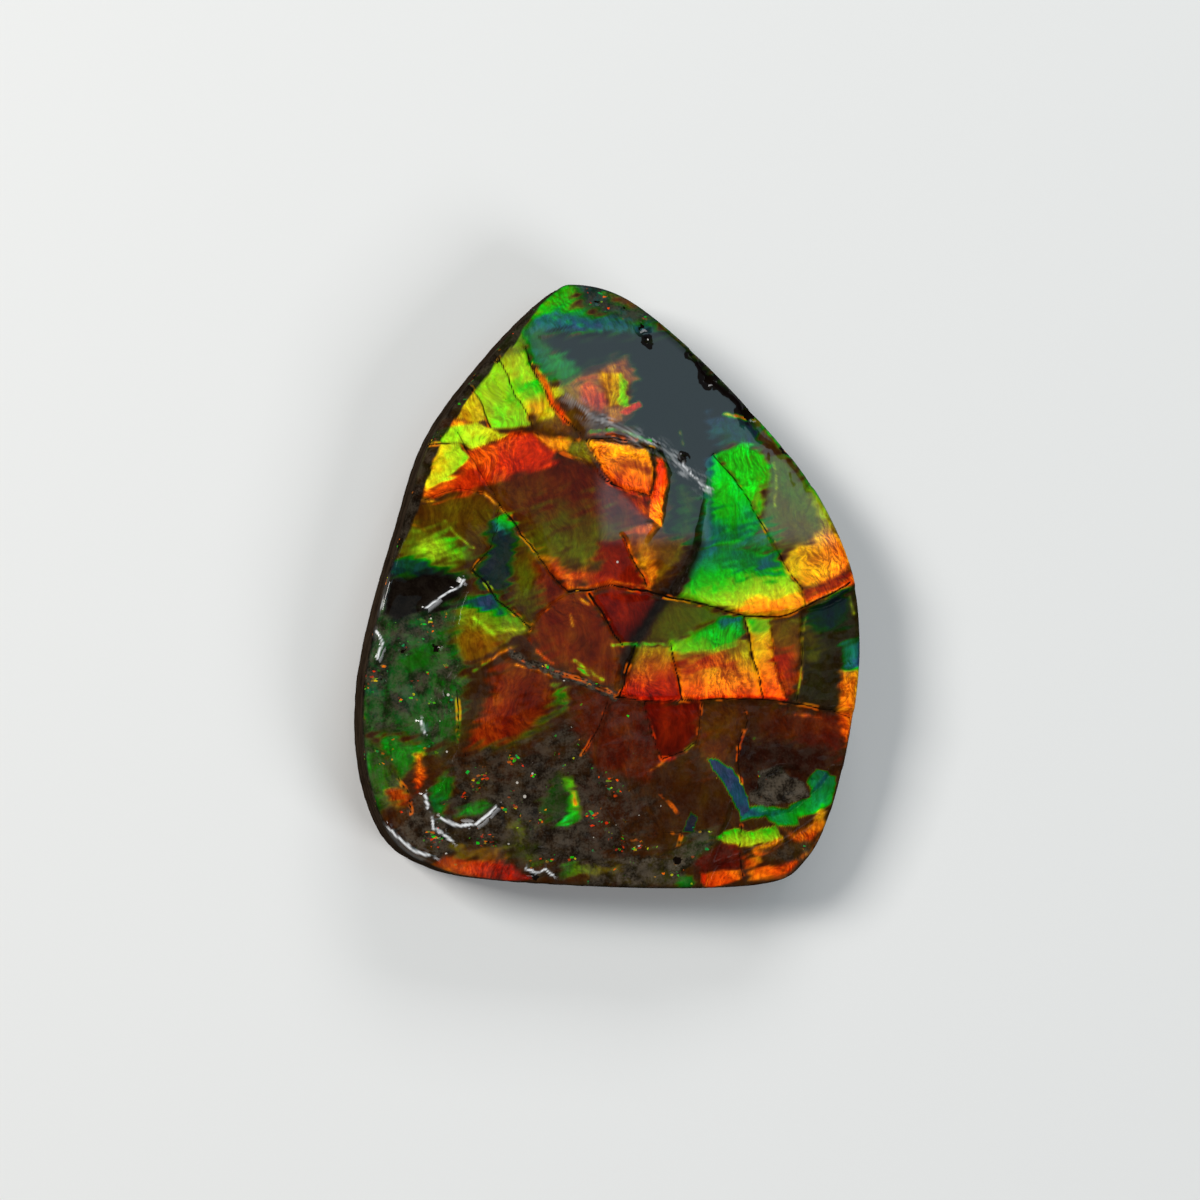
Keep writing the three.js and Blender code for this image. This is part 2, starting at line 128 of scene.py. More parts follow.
# the relief of the shell: a low dome with swells, broken plates, cracks and pits
shell = {
    "columns": 276,
    "rows": 322,
    "base": 6.36,
    "rimTop": 8.0,
    "crownRise": 1.0,
    "edgeInset": 0.42,
    "edgeRings": [(0.26, 0.95), (0.12, 0.86), (0.03, 0.72), (0.0, 0.55), (0.0, 0.3), (0.04, 0.0)],
    "ledgeSoft": 0.35,
    "roughness": 0.13,
    "swells": [
        (-18.6, -2.2, 3.4, -0.55), (-22.4, -5.6, 1.8, 0.32), (-19.4, -9.8, 2.6, -0.45),
        (-17.0, -13.8, 2.2, 0.4), (-21.4, -18.4, 2.4, -0.3), (-14.6, -21.4, 3.2, -0.55),
        (-18.4, -24.2, 1.8, 0.35), (-9.0, -25.6, 2.2, 0.3), (-4.6, -21.0, 3.2, -0.35),
        (10.5, -19.4, 3.0, 0.22), (-11.6, 2.6, 3.2, -0.28), (3.4, -1.6, 3.0, -0.26),
        (5.5, 19.0, 8.5, 0.3),
    ],
    "crease": {"line": [(-5.2, 18.6), (1.2, 15.6), (6.6, 12.9), (9.0, 9.8)], "halfWidth": 1.3, "rise": 0.07},
    "plates": [
        # outline, lift at the hinge, hinge, climb for each millimetre in x and y
        ([(-8.8, 23.1), (-6.5, 17.4), (-8.0, 15.2), (-13.3, 14.5), (-18.1, 11.8), (-24, 14), (-14, 28)],
         0.3, (-8, 15), (-0.012, 0)),
        ([(-8.5, 15.3), (4.2, 13.9), (5.3, 11.4), (4.7, 6.6), (2.9, 4.2), (-1.0, 9.6), (-5.3, 13.1)],
         0.26, (5, 10), (0.041, 0.03)),
        ([(9.3, 13.4), (9.0, 8.6), (8.1, 4.0), (5.9, -0.8), (8.7, -1.7), (13.2, -2.8), (17.7, -2.6),
          (20.9, -1.7), (28, 2.5), (27, 12), (17.7, 13.6), (14.9, 14.8), (11.2, 14.8)], 0.46, (14, -2.8),
         (0, -0.028)),
        ([(0.9, -5.9), (6.7, -5.9), (8.7, -3.9), (13.2, -2.9), (20.9, -1.8), (28, 2.4), (28, -12.4),
          (22.9, -12.0), (17.2, -11.4), (12.7, -11.1), (6.7, -11.3), (2.7, -11.4), (0, -10.6)],
         0.14, (12, -11), (0, -0.03)),
        ([(0, -10.7), (2.7, -11.5), (6.7, -11.4), (12.7, -11.2), (17.2, -11.5), (22.9, -12.1),
          (28, -12.5), (28, -18), (20.5, -19.4), (12.2, -21.7), (7.7, -26.4), (2.7, -27.4), (-1.3, -21.4),
          (-1.9, -15.4)], -0.38, (10, -12), (0, -0.012)),
        ([(-28, 0.4), (-21.3, 1.3), (-17.3, 0.6), (-14.5, -0.6), (-15.5, -3.9), (-14.3, -7.4),
          (-17.1, -10.4), (-15.1, -15.4), (-17.3, -20.4), (-14.3, -24.7), (-5.3, -26.3), (3.7, -28.0),
          (4, -33), (-20, -33), (-28, -26)], -0.38, (-15, -10), (0, 0)),
        ([(11.7, -21.3), (14.7, -22.6), (17.7, -21.9), (20.5, -19.4), (22.2, -17.7), (27, -18), (24, -30),
          (9, -33), (9.8, -27.0)], -0.72, (14, -22), (0, 0)),
        ([(10.4, -27.2), (13.4, -26.2), (17.0, -25.2), (20.8, -22.6), (27, -21), (22, -33), (8, -33)],
         -1.08, (15, -26), (0, 0.01)),
        ([(14.9, -18.6), (16.6, -17.6), (18.5, -17.7), (20.0, -19.0), (19.3, -20.5), (16.2, -21.5),
          (14.2, -20.4)], -0.95, (17, -20), (0, 0)),
        ([(7.7, 23.3), (9.0, 21.4), (10.3, 20.2), (12.5, 18.4), (13.5, 16.2), (14.9, 14.7), (17.7, 13.3),
          (19.7, 9.9), (22.5, 10.6), (14.7, 21.0), (8.7, 25.6)], -0.5, (14, 16), (0, 0)),
    ],
    "pits": [
        # place, half width, depth
        (-1.6, 28.0, 0.5, 0.3), (2.9, 25.6, 0.6, 0.35), (3.4, 24.4, 0.4, 0.3), (1.2, 27.6, 0.35, 0.25),
        (9.6, 20.7, 0.7, 0.5), (13.6, 17.2, 0.9, 0.5), (17.4, 13.9, 0.8, 0.4), (6.9, 12.8, 0.4, 0.2),
        (-11.5, 21.8, 0.5, 0.25), (-22.6, -9.4, 0.5, 0.35), (-20.6, -6.6, 0.5, 0.3),
        (-17.4, -6.2, 0.6, 0.3), (-16.6, -24.6, 0.6, 0.3), (6.4, -26.8, 0.6, 0.3),
        (-7.6, -28.4, 0.7, 0.4), (7.8, 23.1, 0.4, 0.4),
    ],
    # line of a crack, its width and its depth; a width under 0 makes it faint
    "cracks": [
        ([(-8.8, 23.6), (-8.1, 21.5), (-7.2, 19.7), (-6.5, 18.5), (-5.8, 17.2), (-4.5, 16.0),
          (-3.4, 15.1)], 0.1, 0.1),
        ([(-11.3, 22.3), (-10.4, 20.4), (-9.9, 18.8), (-8.8, 17.2), (-8.1, 15.4)], 0.07, 0.08),
        ([(-14.2, 19.6), (-13.1, 17.9), (-12.7, 16.7), (-12.1, 15.4)], 0.05, 0.06),
        ([(-12.0, 20.4), (-10.6, 18.2), (-9.2, 17.0)], -0.06, 0.03),
        ([(-17.9, 13.7), (-15.2, 13.8), (-14.0, 13.3), (-12.4, 13.8), (-10.6, 14.5), (-8.5, 15.1),
          (-6.1, 14.6), (-4.2, 14.4), (-2.7, 14.2)], -0.02, 0.06),
        ([(-15.4, 14.9), (-14.2, 12.7), (-12.6, 10.2), (-11.3, 8.1)], -0.01, 0.06),
        ([(-11.3, 8.1), (-10.6, 7.0), (-8.4, 4.2), (-7.4, 2.6), (-6.0, 0.8), (-4.6, -0.6)], 0.06, 0.14),
        ([(-8.2, 14.9), (-6.1, 13.5), (-3.8, 12.4), (-2.4, 11.9), (-0.9, 10.4), (1.2, 9.5), (3.5, 8.9)],
         0.0, 0.06),
        ([(-2.7, 14.2), (-1.7, 12.4), (-0.8, 10.8), (0.1, 9.9)], 0.04, 0.08),
        ([(-2.9, 14.5), (0.2, 14.5), (2.2, 14.2), (3.8, 13.5), (3.9, 12.0), (4.0, 10.4), (3.6, 8.8)],
         0.04, 0.08),
        ([(-0.9, 12.8), (0.4, 13.1), (2.9, 12.4)], -0.06, 0.03),
        ([(-13.9, 1.4), (-12.6, 0.2), (-11.6, -1.4), (-9.9, -2.7), (-8.4, -4.3)], 0.1, 0.14),
        ([(-2.5, -0.8), (-0.4, -4.1), (0.7, -5.8)], 0.1, 0.14),
        ([(-10.3, -6.5), (-8.2, -7.7), (-6.1, -8.6), (-3.6, -9.2), (-1.0, -10.2), (0.4, -11.0)],
         -0.02, 0.1),
        ([(-4.6, -0.6), (-2.6, -0.5), (-0.3, 0.1), (1.6, -0.2), (3.7, -0.5), (5.2, -1.0), (7.9, -1.6),
          (9.8, -1.9), (11.3, -2.5), (12.8, -2.8), (16.5, -2.9), (18.9, -1.9), (21.0, -0.8), (23.6, 0.6)],
         0.07, 0.14),
        ([(0.4, -10.9), (3.0, -11.3), (6.8, -11.1), (12.5, -11.1), (17.2, -11.3), (21.9, -12.1),
          (23.7, -12.8)], 0.02, 0.1),
        ([(12.9, -2.9), (13.7, -6.4), (14.8, -11.0)], 0.07, 0.1),
        ([(5.6, -5.6), (6.1, -8.4), (6.6, -11.0)], 0.07, 0.1),
        ([(15.5, -3.2), (15.9, -7.0), (17.2, -11.0)], -0.02, 0.06),
        ([(9.8, 13.0), (12.0, 10.9), (13.1, 9.2), (14.4, 6.6), (15.9, 4.4), (16.8, 2.5), (17.9, 1.1),
          (18.6, 0.1), (19.0, -1.9)], 0.03, 0.06),
        ([(0.7, 4.9), (1.8, 2.7), (3.3, 0.0)], 0.06, 0.1),
        ([(2.0, -5.8), (1.2, -8.2), (0.5, -10.8)], 0.08, 0.12),
        ([(-11.3, 8.0), (-11.6, 5.6), (-12.3, 3.4), (-13.9, 1.4)], 0.0, 0.08),
        ([(-20.6, 9.4), (-18.4, 8.4), (-15.0, 9.4), (-12.6, 8.9), (-11.3, 8.1)], -0.04, 0.05),
        ([(3.0, -11.3), (3.6, -14.0), (4.9, -17.2)], 0.0, 0.05),
        ([(8.6, -11.4), (8.4, -14.6), (8.0, -16.0)], -0.04, 0.04),
        ([(5.0, -17.0), (6.9, -16.2), (8.2, -15.2)], 0.02, 0.06),
        ([(12.7, -11.6), (13.3, -13.2), (12.4, -15.6), (12.6, -19.4)], -0.02, 0.05),
        ([(4.7, -20.4), (6.6, -22.6), (6.8, -24.6), (5.8, -27.4)], -0.06, 0.04),
        ([(2.0, -24.9), (4.4, -24.4), (6.8, -24.3)], -0.07, 0.03),
        ([(18.8, -2.4), (18.8, -6.4), (18.2, -11.2)], -0.02, 0.06),
        ([(-15.4, -10.4), (-15.3, -14.4), (-14.6, -16.8)], 0.02, 0.06),
        ([(-21.0, -18.7), (-20.0, -20.3), (-19.8, -22.4)], 0.0, 0.05),
        ([(12.8, -23.4), (12.7, -26.0), (13.1, -28.4)], 0.04, 0.1),
        ([(-8.9, -5.0), (-7.6, -3.0), (-5.0, -1.0)], -0.07, 0.03),
        ([(-0.6, -11.2), (-1.6, -14.0), (-3.2, -16.8)], 0.0, 0.06),
    ],
    "crackWall": 0.13,
    # sharp edges of the rough corner that catch the light: line, rise and half width
    "lips": [
        ([(-18.2, -2.2), (-16.6, -1.1), (-15.1, -0.2), (-14.9, 0.4)], 0.34, 0.5),
        ([(-22.2, 0.2), (-22.6, -1.2), (-22.9, -2.4)], 0.46, 0.72),
        ([(-23.0, -4.6), (-22.6, -5.8), (-23.1, -7.4)], 0.32, 0.5),
        ([(-22.1, -23.7), (-20.6, -25.3), (-19.2, -26.2), (-17.5, -26.8)], 0.32, 0.48),
        ([(-17.9, -22.7), (-17.7, -23.9), (-16.8, -24.3), (-15.6, -25.2)], 0.32, 0.48),
        ([(-17.0, -22.9), (-15.2, -23.6), (-13.5, -23.6), (-12.4, -22.6), (-11.6, -21.7)], 0.36, 0.54),
        ([(-18.4, -20.6), (-18.2, -21.8)], 0.38, 0.6),
        ([(-18.9, -13.4), (-18.5, -14.6)], 0.3, 0.5),
        ([(-8.6, -27.8), (-7.6, -28.2), (-6.7, -27.9), (-5.9, -28.4)], 0.26, 0.4),
    ],
    # the part of the face that is polished like glass; the rest is satin
    "glassy": [(-8.6, 25.6), (-7.7, 23.1), (-6.6, 21.0), (-5.0, 19.4), (-3.8, 17.4), (-2.3, 14.6),
               (-1.3, 11.6),
               (-1.5, 8.6), (-0.9, 4.5), (2.7, 4.5), (8.7, 4.5), (14.7, 4.5), (22.2, 4.6), (24.0, 8.6),
         (19.0, 18.6),
               (10.7, 25.6), (7.7, 26.1), (5.7, 25.1), (2.7, 25.5), (-1.3, 25.2), (-5.3, 25.1)],
    "satin": 0.1,
    # places that the polish doesn't reach: outline, how much of it is lost
    "dull": [
        ([(9.1, 12.3), (9.8, 13.3), (12.8, 14.2), (14.8, 13.6), (15.6, 12.0), (15.4, 9.0), (14.6, 6.2),
          (13.5, 4.6), (9.4, 4.0)], 0.95),
        ([(-1.6, 21.2), (0.8, 21.0), (1.6, 20.0), (1.5, 17.8), (-0.6, 17.6)], 0.8),
        ([(-2.7, 14.4), (3.4, 13.6), (5.0, 12.8), (5.3, 10.2), (4.7, 6.1), (3.2, 6.6), (-0.6, 10.4)],
         0.85),
    ],
}

# the play of colour. order runs from 0, red, through orange, yellow, green and teal to 1, blue.
# Each pane has an outline, the order and glow at its two ends, the way that they run in degrees,
# how soft its edge is, and how much dull brown crust covers it.
colours = {
    "ground": {"order": 0.32, "glow": 0.21, "crust": 0.12},
    "grainTurn": 18,
    "panes": [
        # heart of the face
        ([(-18.6, 8.6), (-13.0, 10.5), (-8.8, 11.2), (-5.3, 12.8), (-1.5, 11.6), (0.5, 9.4), (3.2, 8.6),
          (3.4, 5.4), (-6.0, 5.0), (-11.0, 6.5)], (0.4, 0.13), (0.31, 0.31), 0, 0.72, 0),
        ([(-20.5, 8.9), (-18.0, 8.4), (-13.3, 9.2), (-11.3, 7.8), (-12.3, 3.4), (-14.3, 1.4),
          (-18.3, 1.0), (-21.7, 2.0)], (0.42, 0.38), (0.24, 0.33), 90, 0.72, 0),
        ([(-9.8, 5.1), (-5.3, 7.6), (0.7, 6.8), (3.0, 4.6), (2.0, 2.1), (-2.3, 1.1), (-6.0, 1.6),
          (-9.5, 2.6)], (0.49, 0.5), (0.4, 0.32), 90, 2.34, 0),
        ([(-7.3, 2.6), (-5.3, 1.5), (-1.3, 1.6), (2.0, 2.2), (3.0, 0.0), (0.2, -0.1), (-2.8, -0.2),
          (-4.8, -0.4)], (0.28, 0.15), (0.84, 0.6), 0, 0.9, 0),
        ([(-1.6, 4.2), (1.0, 4.8), (3.2, 0.4), (1.0, 0.0), (-1.2, 1.2)], (0.11, 0.1), (0.4, 0.56),
         -70, 0.72, 0),
        ([(-8.4, 2.8), (-6.4, 1.2), (-4.8, -0.6), (-2.9, -1.2), (-0.6, -4.2), (0.6, -6.0), (0.4, -10.4),
          (-3.3, -9.0), (-6.1, -8.0), (-8.3, -5.2), (-7.6, -2.4)], (0.27, 0.2), (0.36, 0.42),
         90, 0.54, 0),
        ([(-6.4, -4.4), (-4.4, -3.4), (-2.6, -5.4), (-3.4, -7.6), (-6.0, -6.8)], (0.2, 0.24), (0.4, 0.34),
         0, 1.62, 0),
        ([(-10.0, 4.6), (-8.8, 3.6), (-7.6, 1.0), (-7.4, -1.6), (-8.4, -4.0), (-9.9, -1.6), (-10.4, 1.5)],
         (0.5, 0.46), (0.3, 0.34), 90, 1.08, 0),
        ([(-2.3, -0.9), (0.2, -0.3), (3.3, -0.7), (4.6, -1.4), (2.6, -4.8), (1.0, -5.8), (-0.5, -3.8)],
         (0.11, 0.07), (0.6, 0.36), -50, 0.36, 0),
        ([(1.0, 5.0), (3.1, 5.7), (4.6, 5.0), (7.4, 5.0), (6.4, 2.6), (4.3, 0.3), (3.3, -0.1),
          (1.9, 2.5)], (0.28, 0.46), (0.5, 0.34), 0, 0.45, 0),
        ([(2.2, 4.4), (3.2, 5.0), (4.2, 1.2), (3.6, -0.2), (2.9, 0.9), (2.5, 2.9)], (0.3, 0.38),
         (0.95, 0.6), 80, 0.36, 0),
        ([(0.8, 5.0), (1.4, 5.2), (3.0, 6.2), (4.4, 6.4), (3.4, 5.2)], (0.24, 0.3), (0.8, 0.85),
         0, 0.36, 0),
        # left edge, the blue slip and the small fan
        ([(-21.3, 3.9), (-18.8, 5.2), (-16.4, 5.4), (-14.6, 3.6), (-15.2, 1.4), (-17.4, 0.9),
          (-21.0, 1.6)], (0.52, 0.6), (0.44, 0.4), 0, 1.08, 0),
        ([(-19.2, 4.2), (-17.4, 4.9), (-15.8, 4.3), (-15.4, 2.6), (-17.0, 1.9), (-18.8, 2.6)],
         (0.57, 0.64), (0.92, 0.86), 0, 0.9, 0),
        ([(-22.1, 2.3), (-19.8, 2.5), (-16.8, 1.3), (-14.8, 0.7), (-17.3, 0.1), (-22.1, 0.6)],
         (0.88, 0.9), (0.46, 0.36), 0, 0.54, 0),
        ([(-12.3, 6.2), (-10.9, 7.0), (-9.6, 5.0), (-10.0, 1.6), (-10.6, -0.6), (-12.9, -0.6),
          (-13.4, 1.6), (-12.3, 3.4)], (0.93, 0.9), (0.3, 0.36), 90, 0.54, 0.1),
        ([(-11.8, 6.6), (-10.6, 7.0), (-9.8, 5.9), (-10.6, 5.0), (-11.7, 5.3)], (0.88, 0.7), (0.75, 0.9),
         70, 0.45, 0),
        ([(-15.5, -2.2), (-14.5, -1.2), (-11.6, -1.2), (-9.7, -2.9), (-8.8, -4.3), (-10.3, -5.8),
          (-12.8, -7.3), (-14.5, -7.6), (-15.6, -4.6)], (0.34, 0.68), (0.36, 0.66), 75, 0.54, 0),
        ([(-15.0, -1.7), (-12.3, -0.9), (-10.5, -1.9), (-11.2, -2.6), (-14.0, -2.4)], (0.92, 0.97),
         (0.7, 0.6), 0, 0.54, 0),
        ([(-15.4, -5.0), (-13.4, -4.6), (-11.0, -5.6), (-12.8, -7.2), (-14.6, -7.4)], (0.44, 0.34),
         (0.5, 0.46), 0, 0.9, 0),
        # rust fan and the dark beside it
        ([(-15.6, -8.4), (-13.2, -8.2), (-12.0, -9.6), (-12.8, -13.0), (-14.2, -16.2), (-16.4, -17.6),
          (-17.6, -15.2), (-16.2, -11.4)], (0.42, 0.36), (0.22, 0.2), 0, 0.9, 0.1),
        ([(-11.9, -8.0), (-9.8, -7.6), (-6.3, -8.9), (-5.5, -10.5), (-6.3, -12.8), (-10.4, -15.9),
          (-14.7, -16.4), (-13.4, -13.4), (-12.0, -10.5)], (0.19, 0.25), (0.6, 0.34), 35, 0.63, 0),
        ([(-14.6, -16.5), (-10.3, -16.2), (-5.6, -12.8), (-4.6, -10.4), (-5.7, -10.6), (-6.6, -12.8),
          (-10.6, -15.6), (-14.0, -16.0)], (0.52, 0.6), (0.3, 0.34), 60, 0.72, 0),
        ([(-6.0, -9.8), (-5.0, -9.9), (-4.2, -11.4), (-5.0, -12.2)], (0.68, 0.76), (0.66, 0.5),
         -60, 0.45, 0),
        # rough corner at the lower left
        ([(-22.8, -0.4), (-15.3, -1.2), (-15.8, -6.4), (-14.7, -9.0), (-15.8, -15.0), (-18.0, -16.0),
          (-20.0, -14.4), (-25.0, -14.8), (-25.0, -8.0), (-23.4, -3.0)], (0.82, 0.76), (0.38, 0.38),
         0, 0.9, 0.45),
        # a hollow in the rough corner, painted near black as its shade
        ([(-22.5, 0.7), (-17.3, 1.0), (-15.0, 0.6), (-14.6, -1.4), (-17.8, -2.6), (-21.0, -3.8),
          (-22.4, -2.8)], (0.97, 0.97), (0.04, 0.06), 0, 0.63, 0.06),
        ([(-20.6, -7.5), (-19.4, -5.9), (-17.2, -5.7), (-17.7, -7.9), (-19.8, -8.8)], (0.72, 0.74),
         (0.46, 0.4), 0, 0.54, 0.1),
        ([(-23.3, -14.7), (-20.6, -15.6), (-18.1, -14.9), (-18.7, -17.0), (-20.7, -18.7), (-22.3, -16.5)],
         (0.74, 0.7), (0.6, 0.46), -90, 0.54, 0.25),
        ([(-25.0, -14.4), (-23.0, -15.3), (-21.0, -18.7), (-20.0, -20.3), (-19.9, -21.8), (-21.9, -21.8),
          (-23.4, -23.2), (-25.0, -20.0)], (0.74, 0.54), (0.36, 0.4), 0, 0.36, 0.35),
        ([(-21.7, -20.2), (-20.6, -19.8), (-19.7, -21.0), (-20.0, -21.8), (-21.7, -21.5)], (0.24, 0.2),
         (0.6, 0.5), 0, 0.45, 0),
        ([(-19.4, -16.8), (-18.6, -16.4), (-18.4, -19.4), (-19.2, -20.4)], (0.34, 0.16), (0.8, 0.75),
         -90, 0.36, 0),
        ([(-19.6, -21.4), (-17.8, -20.2), (-17.0, -22.8), (-14.0, -24.6), (-14.6, -26.6), (-19.0, -27.0),
          (-21.4, -24.6)], (0.3, 0.5), (0.16, 0.14), 0, 0.9, 0.6),
        ([(-17.8, -19.7), (-15.6, -18.0), (-15.7, -20.6), (-16.8, -22.7), (-17.8, -21.6)], (0.78, 0.74),
         (0.5, 0.56), 0, 0.54, 0),
        ([(-15.6, -17.6), (-9.3, -16.4), (-4.0, -13.6), (-1.6, -16.4), (0.5, -21.4), (-1.3, -28.2),
          (-9.3, -27.6), (-14.6, -25.4), (-15.8, -21.4)], (0.42, 0.36), (0.13, 0.12), 0, 1.44, 0.5),
        ([(-15.4, -22.0), (-14.0, -21.5), (-12.2, -21.3), (-12.2, -22.0), (-14.0, -22.8), (-15.3, -23.1)],
         (0.72, 0.76), (0.66, 0.62), 0, 0.5, 0.2),
        ([(-15.2, -17.6), (-9.6, -17.0), (-4.6, -15.8), (-7.8, -19.4), (-13.6, -20.2)], (0.34, 0.34),
         (0.17, 0.14), 0, 1.44, 0.4),
        ([(-10.2, -23.3), (-7.7, -23.6), (-7.6, -27.4), (-10.4, -26.9)], (0.5, 0.56), (0.36, 0.3),
         0, 0.9, 0.35),
        # green eye in the grey
        ([(-6.3, -19.3), (-4.2, -19.0), (-3.6, -22.4), (-5.6, -23.6), (-7.0, -21.6)], (0.66, 0.7),
         (0.3, 0.3), 0, 0.9, 0.25),
        ([(-4.9, -19.1), (-3.9, -18.9), (-3.3, -21.2), (-3.2, -22.8), (-4.5, -23.8), (-5.3, -23.4),
          (-4.4, -22.0), (-4.5, -20.6)], (0.76, 0.64), (1.0, 0.92), 90, 0.36, 0),
        ([(-3.4, -17.8), (0.9, -18.6), (3.4, -22.4), (1.7, -27.4), (-1.8, -26.4), (-3.0, -22.0)],
         (0.3, 0.3), (0.17, 0.15), 0, 1.8, 0.4),
        # brown middle of the lower face
        ([(-4.8, -10.4), (-0.5, -10.6), (3.0, -11.3), (3.8, -14.6), (4.9, -17.2), (3.4, -19.2),
          (-1.3, -18.4), (-3.8, -14.4)], (0.21, 0.2), (0.3, 0.32), 0, 0.72, 0.15),
        ([(3.0, -11.4), (8.6, -11.3), (8.3, -14.5), (6.8, -16.1), (4.9, -17.2), (3.6, -14.0)],
         (0.15, 0.1), (0.36, 0.48), 90, 0.36, 0),
        ([(8.6, -11.3), (12.6, -11.3), (13.1, -12.9), (12.2, -14.7), (11.3, -16.4), (9.3, -17.6),
          (8.1, -15.9)], (0.36, 0.3), (0.3, 0.27), 0, 0.72, 0.05),
        ([(8.8, -14.6), (11.2, -15.0), (11.0, -17.2), (8.6, -17.6)], (0.26, 0.3), (0.36, 0.3),
         0, 1.44, 0),
        ([(13.3, -11.5), (20.9, -12.3), (23.4, -13.2), (22.6, -16.4), (17.9, -15.5), (14.1, -14.6)],
         (0.27, 0.18), (0.2, 0.38), 0, 0.72, 0.1),
        ([(12.8, -14.6), (17.9, -15.5), (21.8, -15.9), (21.0, -18.2), (18.9, -19.0), (16.8, -17.7),
          (14.6, -18.0), (14.3, -20.0), (13.3, -20.2), (12.4, -16.4)], (0.2, 0.2), (0.13, 0.16),
         0, 0.5, 0.15),
        # painted reflections: a blue blade and a small blue spot
        ([(9.4, -17.0), (10.3, -17.1), (11.8, -18.0), (12.9, -20.0), (13.6, -21.9), (12.8, -22.5),
          (11.0, -19.7)], (1.0, 0.97), (0.7, 0.9), -60, 0.09, 0),
        ([(7.0, -24.2), (7.7, -22.3), (8.3, -22.7), (8.0, -24.3)], (1.0, 1.0), (0.5, 0.4), 0, 0.1, 0.2),
        ([(5.5, -28.0), (7.0, -24.8), (10.2, -24.2), (10.0, -25.6), (8.0, -27.4)], (0.6, 0.7), (0.2, 0.2),
         0, 0.72, 0.6),
        ([(14.5, -18.2), (16.8, -17.6), (17.6, -18.7), (18.9, -19.0), (19.8, -20.6), (17.6, -21.3),
          (15.0, -21.7), (13.6, -21.3), (13.5, -20.2), (14.3, -19.9)], (0.3, 0.3), (0.05, 0.05),
         0, 0.14, 1.0),
        # terraces at the lower right
        ([(19.6, -18.8), (20.4, -17.9), (22.4, -18.6), (22.0, -21.4), (20.6, -22.2), (18.6, -22.8),
          (17.4, -21.5), (19.7, -20.6)], (0.72, 0.88), (0.78, 0.66), 90, 0.15, 0),
        ([(12.8, -22.8), (13.6, -21.7), (16.0, -21.7), (18.4, -22.0), (18.7, -23.4), (16.6, -23.5),
          (15.2, -22.6), (13.9, -22.8)], (0.88, 0.76), (0.9, 0.75), 0, 0.15, 0),
        ([(10.4, -24.6), (12.1, -23.6), (14.0, -24.2), (16.3, -23.4), (17.0, -24.6), (15.3, -25.3),
          (12.8, -25.6), (11.0, -25.2)], (0.5, 0.74), (0.9, 0.9), 90, 0.15, 0),
        ([(14.1, -25.8), (17.0, -24.6), (17.3, -25.3), (15.1, -26.6), (14.3, -26.4)], (0.2, 0.42),
         (0.85, 0.95), 90, 0.14, 0),
        ([(16.8, -23.6), (18.3, -24.3), (19.9, -23.3), (21.0, -21.6), (21.4, -23.4), (19.8, -25.0),
          (18.2, -25.2)], (0.22, 0.4), (0.82, 0.82), 90, 0.36, 0),
        ([(7.6, -27.4), (10.3, -25.3), (12.6, -25.5), (12.9, -27.6), (9.5, -28.0)], (0.14, 0.12),
         (0.36, 0.4), 0, 0.45, 0.15),
        ([(15.2, -26.4), (17.2, -25.2), (20.2, -25.2), (18.8, -27.0), (15.8, -27.4)], (0.4, 0.4),
         (0.18, 0.18), 0, 0.54, 0.4),
        ([(13.2, -26.6), (14.8, -26.4), (15.2, -27.2), (13.4, -27.6)], (0.2, 0.4), (0.75, 0.85),
         0, 0.36, 0),
        ([(8.6, -28.2), (12.8, -27.7), (13.0, -28.8), (11.3, -29.4), (9.0, -29.6)], (0.1, 0.34),
         (0.95, 1.0), 60, 0.15, 0),
        ([(13.3, -27.9), (15.3, -27.5), (18.4, -27.1), (17.9, -28.2), (14.4, -29.0)], (0.34, 0.18),
         (1.05, 0.95), 0, 0.36, 0),
        ([(6.0, -29.4), (6.6, -28.4), (7.9, -28.5), (7.8, -29.8)], (0.76, 0.74), (0.55, 0.5),
         0, 0.36, 0.2),
        ([(-3.0, -27.2), (4.0, -26.4), (6.5, -25.6), (7.5, -27.4), (6.0, -29.6), (-2.0, -29.6)],
         (0.4, 0.5), (0.18, 0.2), 0, 0.8, 0.7),
        ([(-10.4, -6.3), (-8.2, -7.3), (-5.9, -8.3), (-3.6, -9.0), (-1.0, -9.9), (0.5, -10.8),
          (0.3, -11.3), (-1.2, -10.6), (-3.8, -9.6), (-6.3, -9.0), (-8.4, -8.1), (-10.3, -6.9)],
         (0.3, 0.3), (0.1, 0.1), 0, 0.14, 0.9),
        # lower rim
        ([(-16.4, -26.4), (-13.0, -26.8), (-10.2, -27.3), (-8.0, -28.7), (-11.6, -29.3), (-15.0, -28.7),
          (-17.6, -27.6)], (0.26, 0.03), (0.7, 0.94), -20, 0.4, 0.2),
        ([(-15.8, -25.4), (-13.4, -25.8), (-10.6, -26.5), (-12.0, -27.2), (-15.6, -26.8)], (0.5, 0.3),
         (0.5, 0.4), 0, 0.5, 0.2),
        ([(-23.6, -23.9), (-22.6, -24.3), (-21.4, -25.8), (-22.4, -26.2)], (0.12, 0.16), (0.8, 0.7),
         0, 0.36, 0),
        ([(-5.0, -27.3), (-1.3, -27.5), (1.2, -27.8), (-1.3, -28.6), (-5.0, -28.4)], (0.66, 0.4),
         (0.5, 0.5), 0, 0.45, 0.3),
        # orange band under the upper crack
        ([(-19.6, 9.6), (-17.7, 9.7), (-15.8, 10.9), (-14.3, 12.2), (-14.0, 13.3), (-10.6, 14.5),
          (-8.1, 14.9), (-6.3, 13.5), (-6.0, 12.4), (-8.8, 10.9), (-10.6, 10.9), (-12.6, 9.6),
          (-14.9, 9.2), (-17.4, 8.3)], (0.24, 0.13), (0.84, 0.9), 0, 0.54, 0),
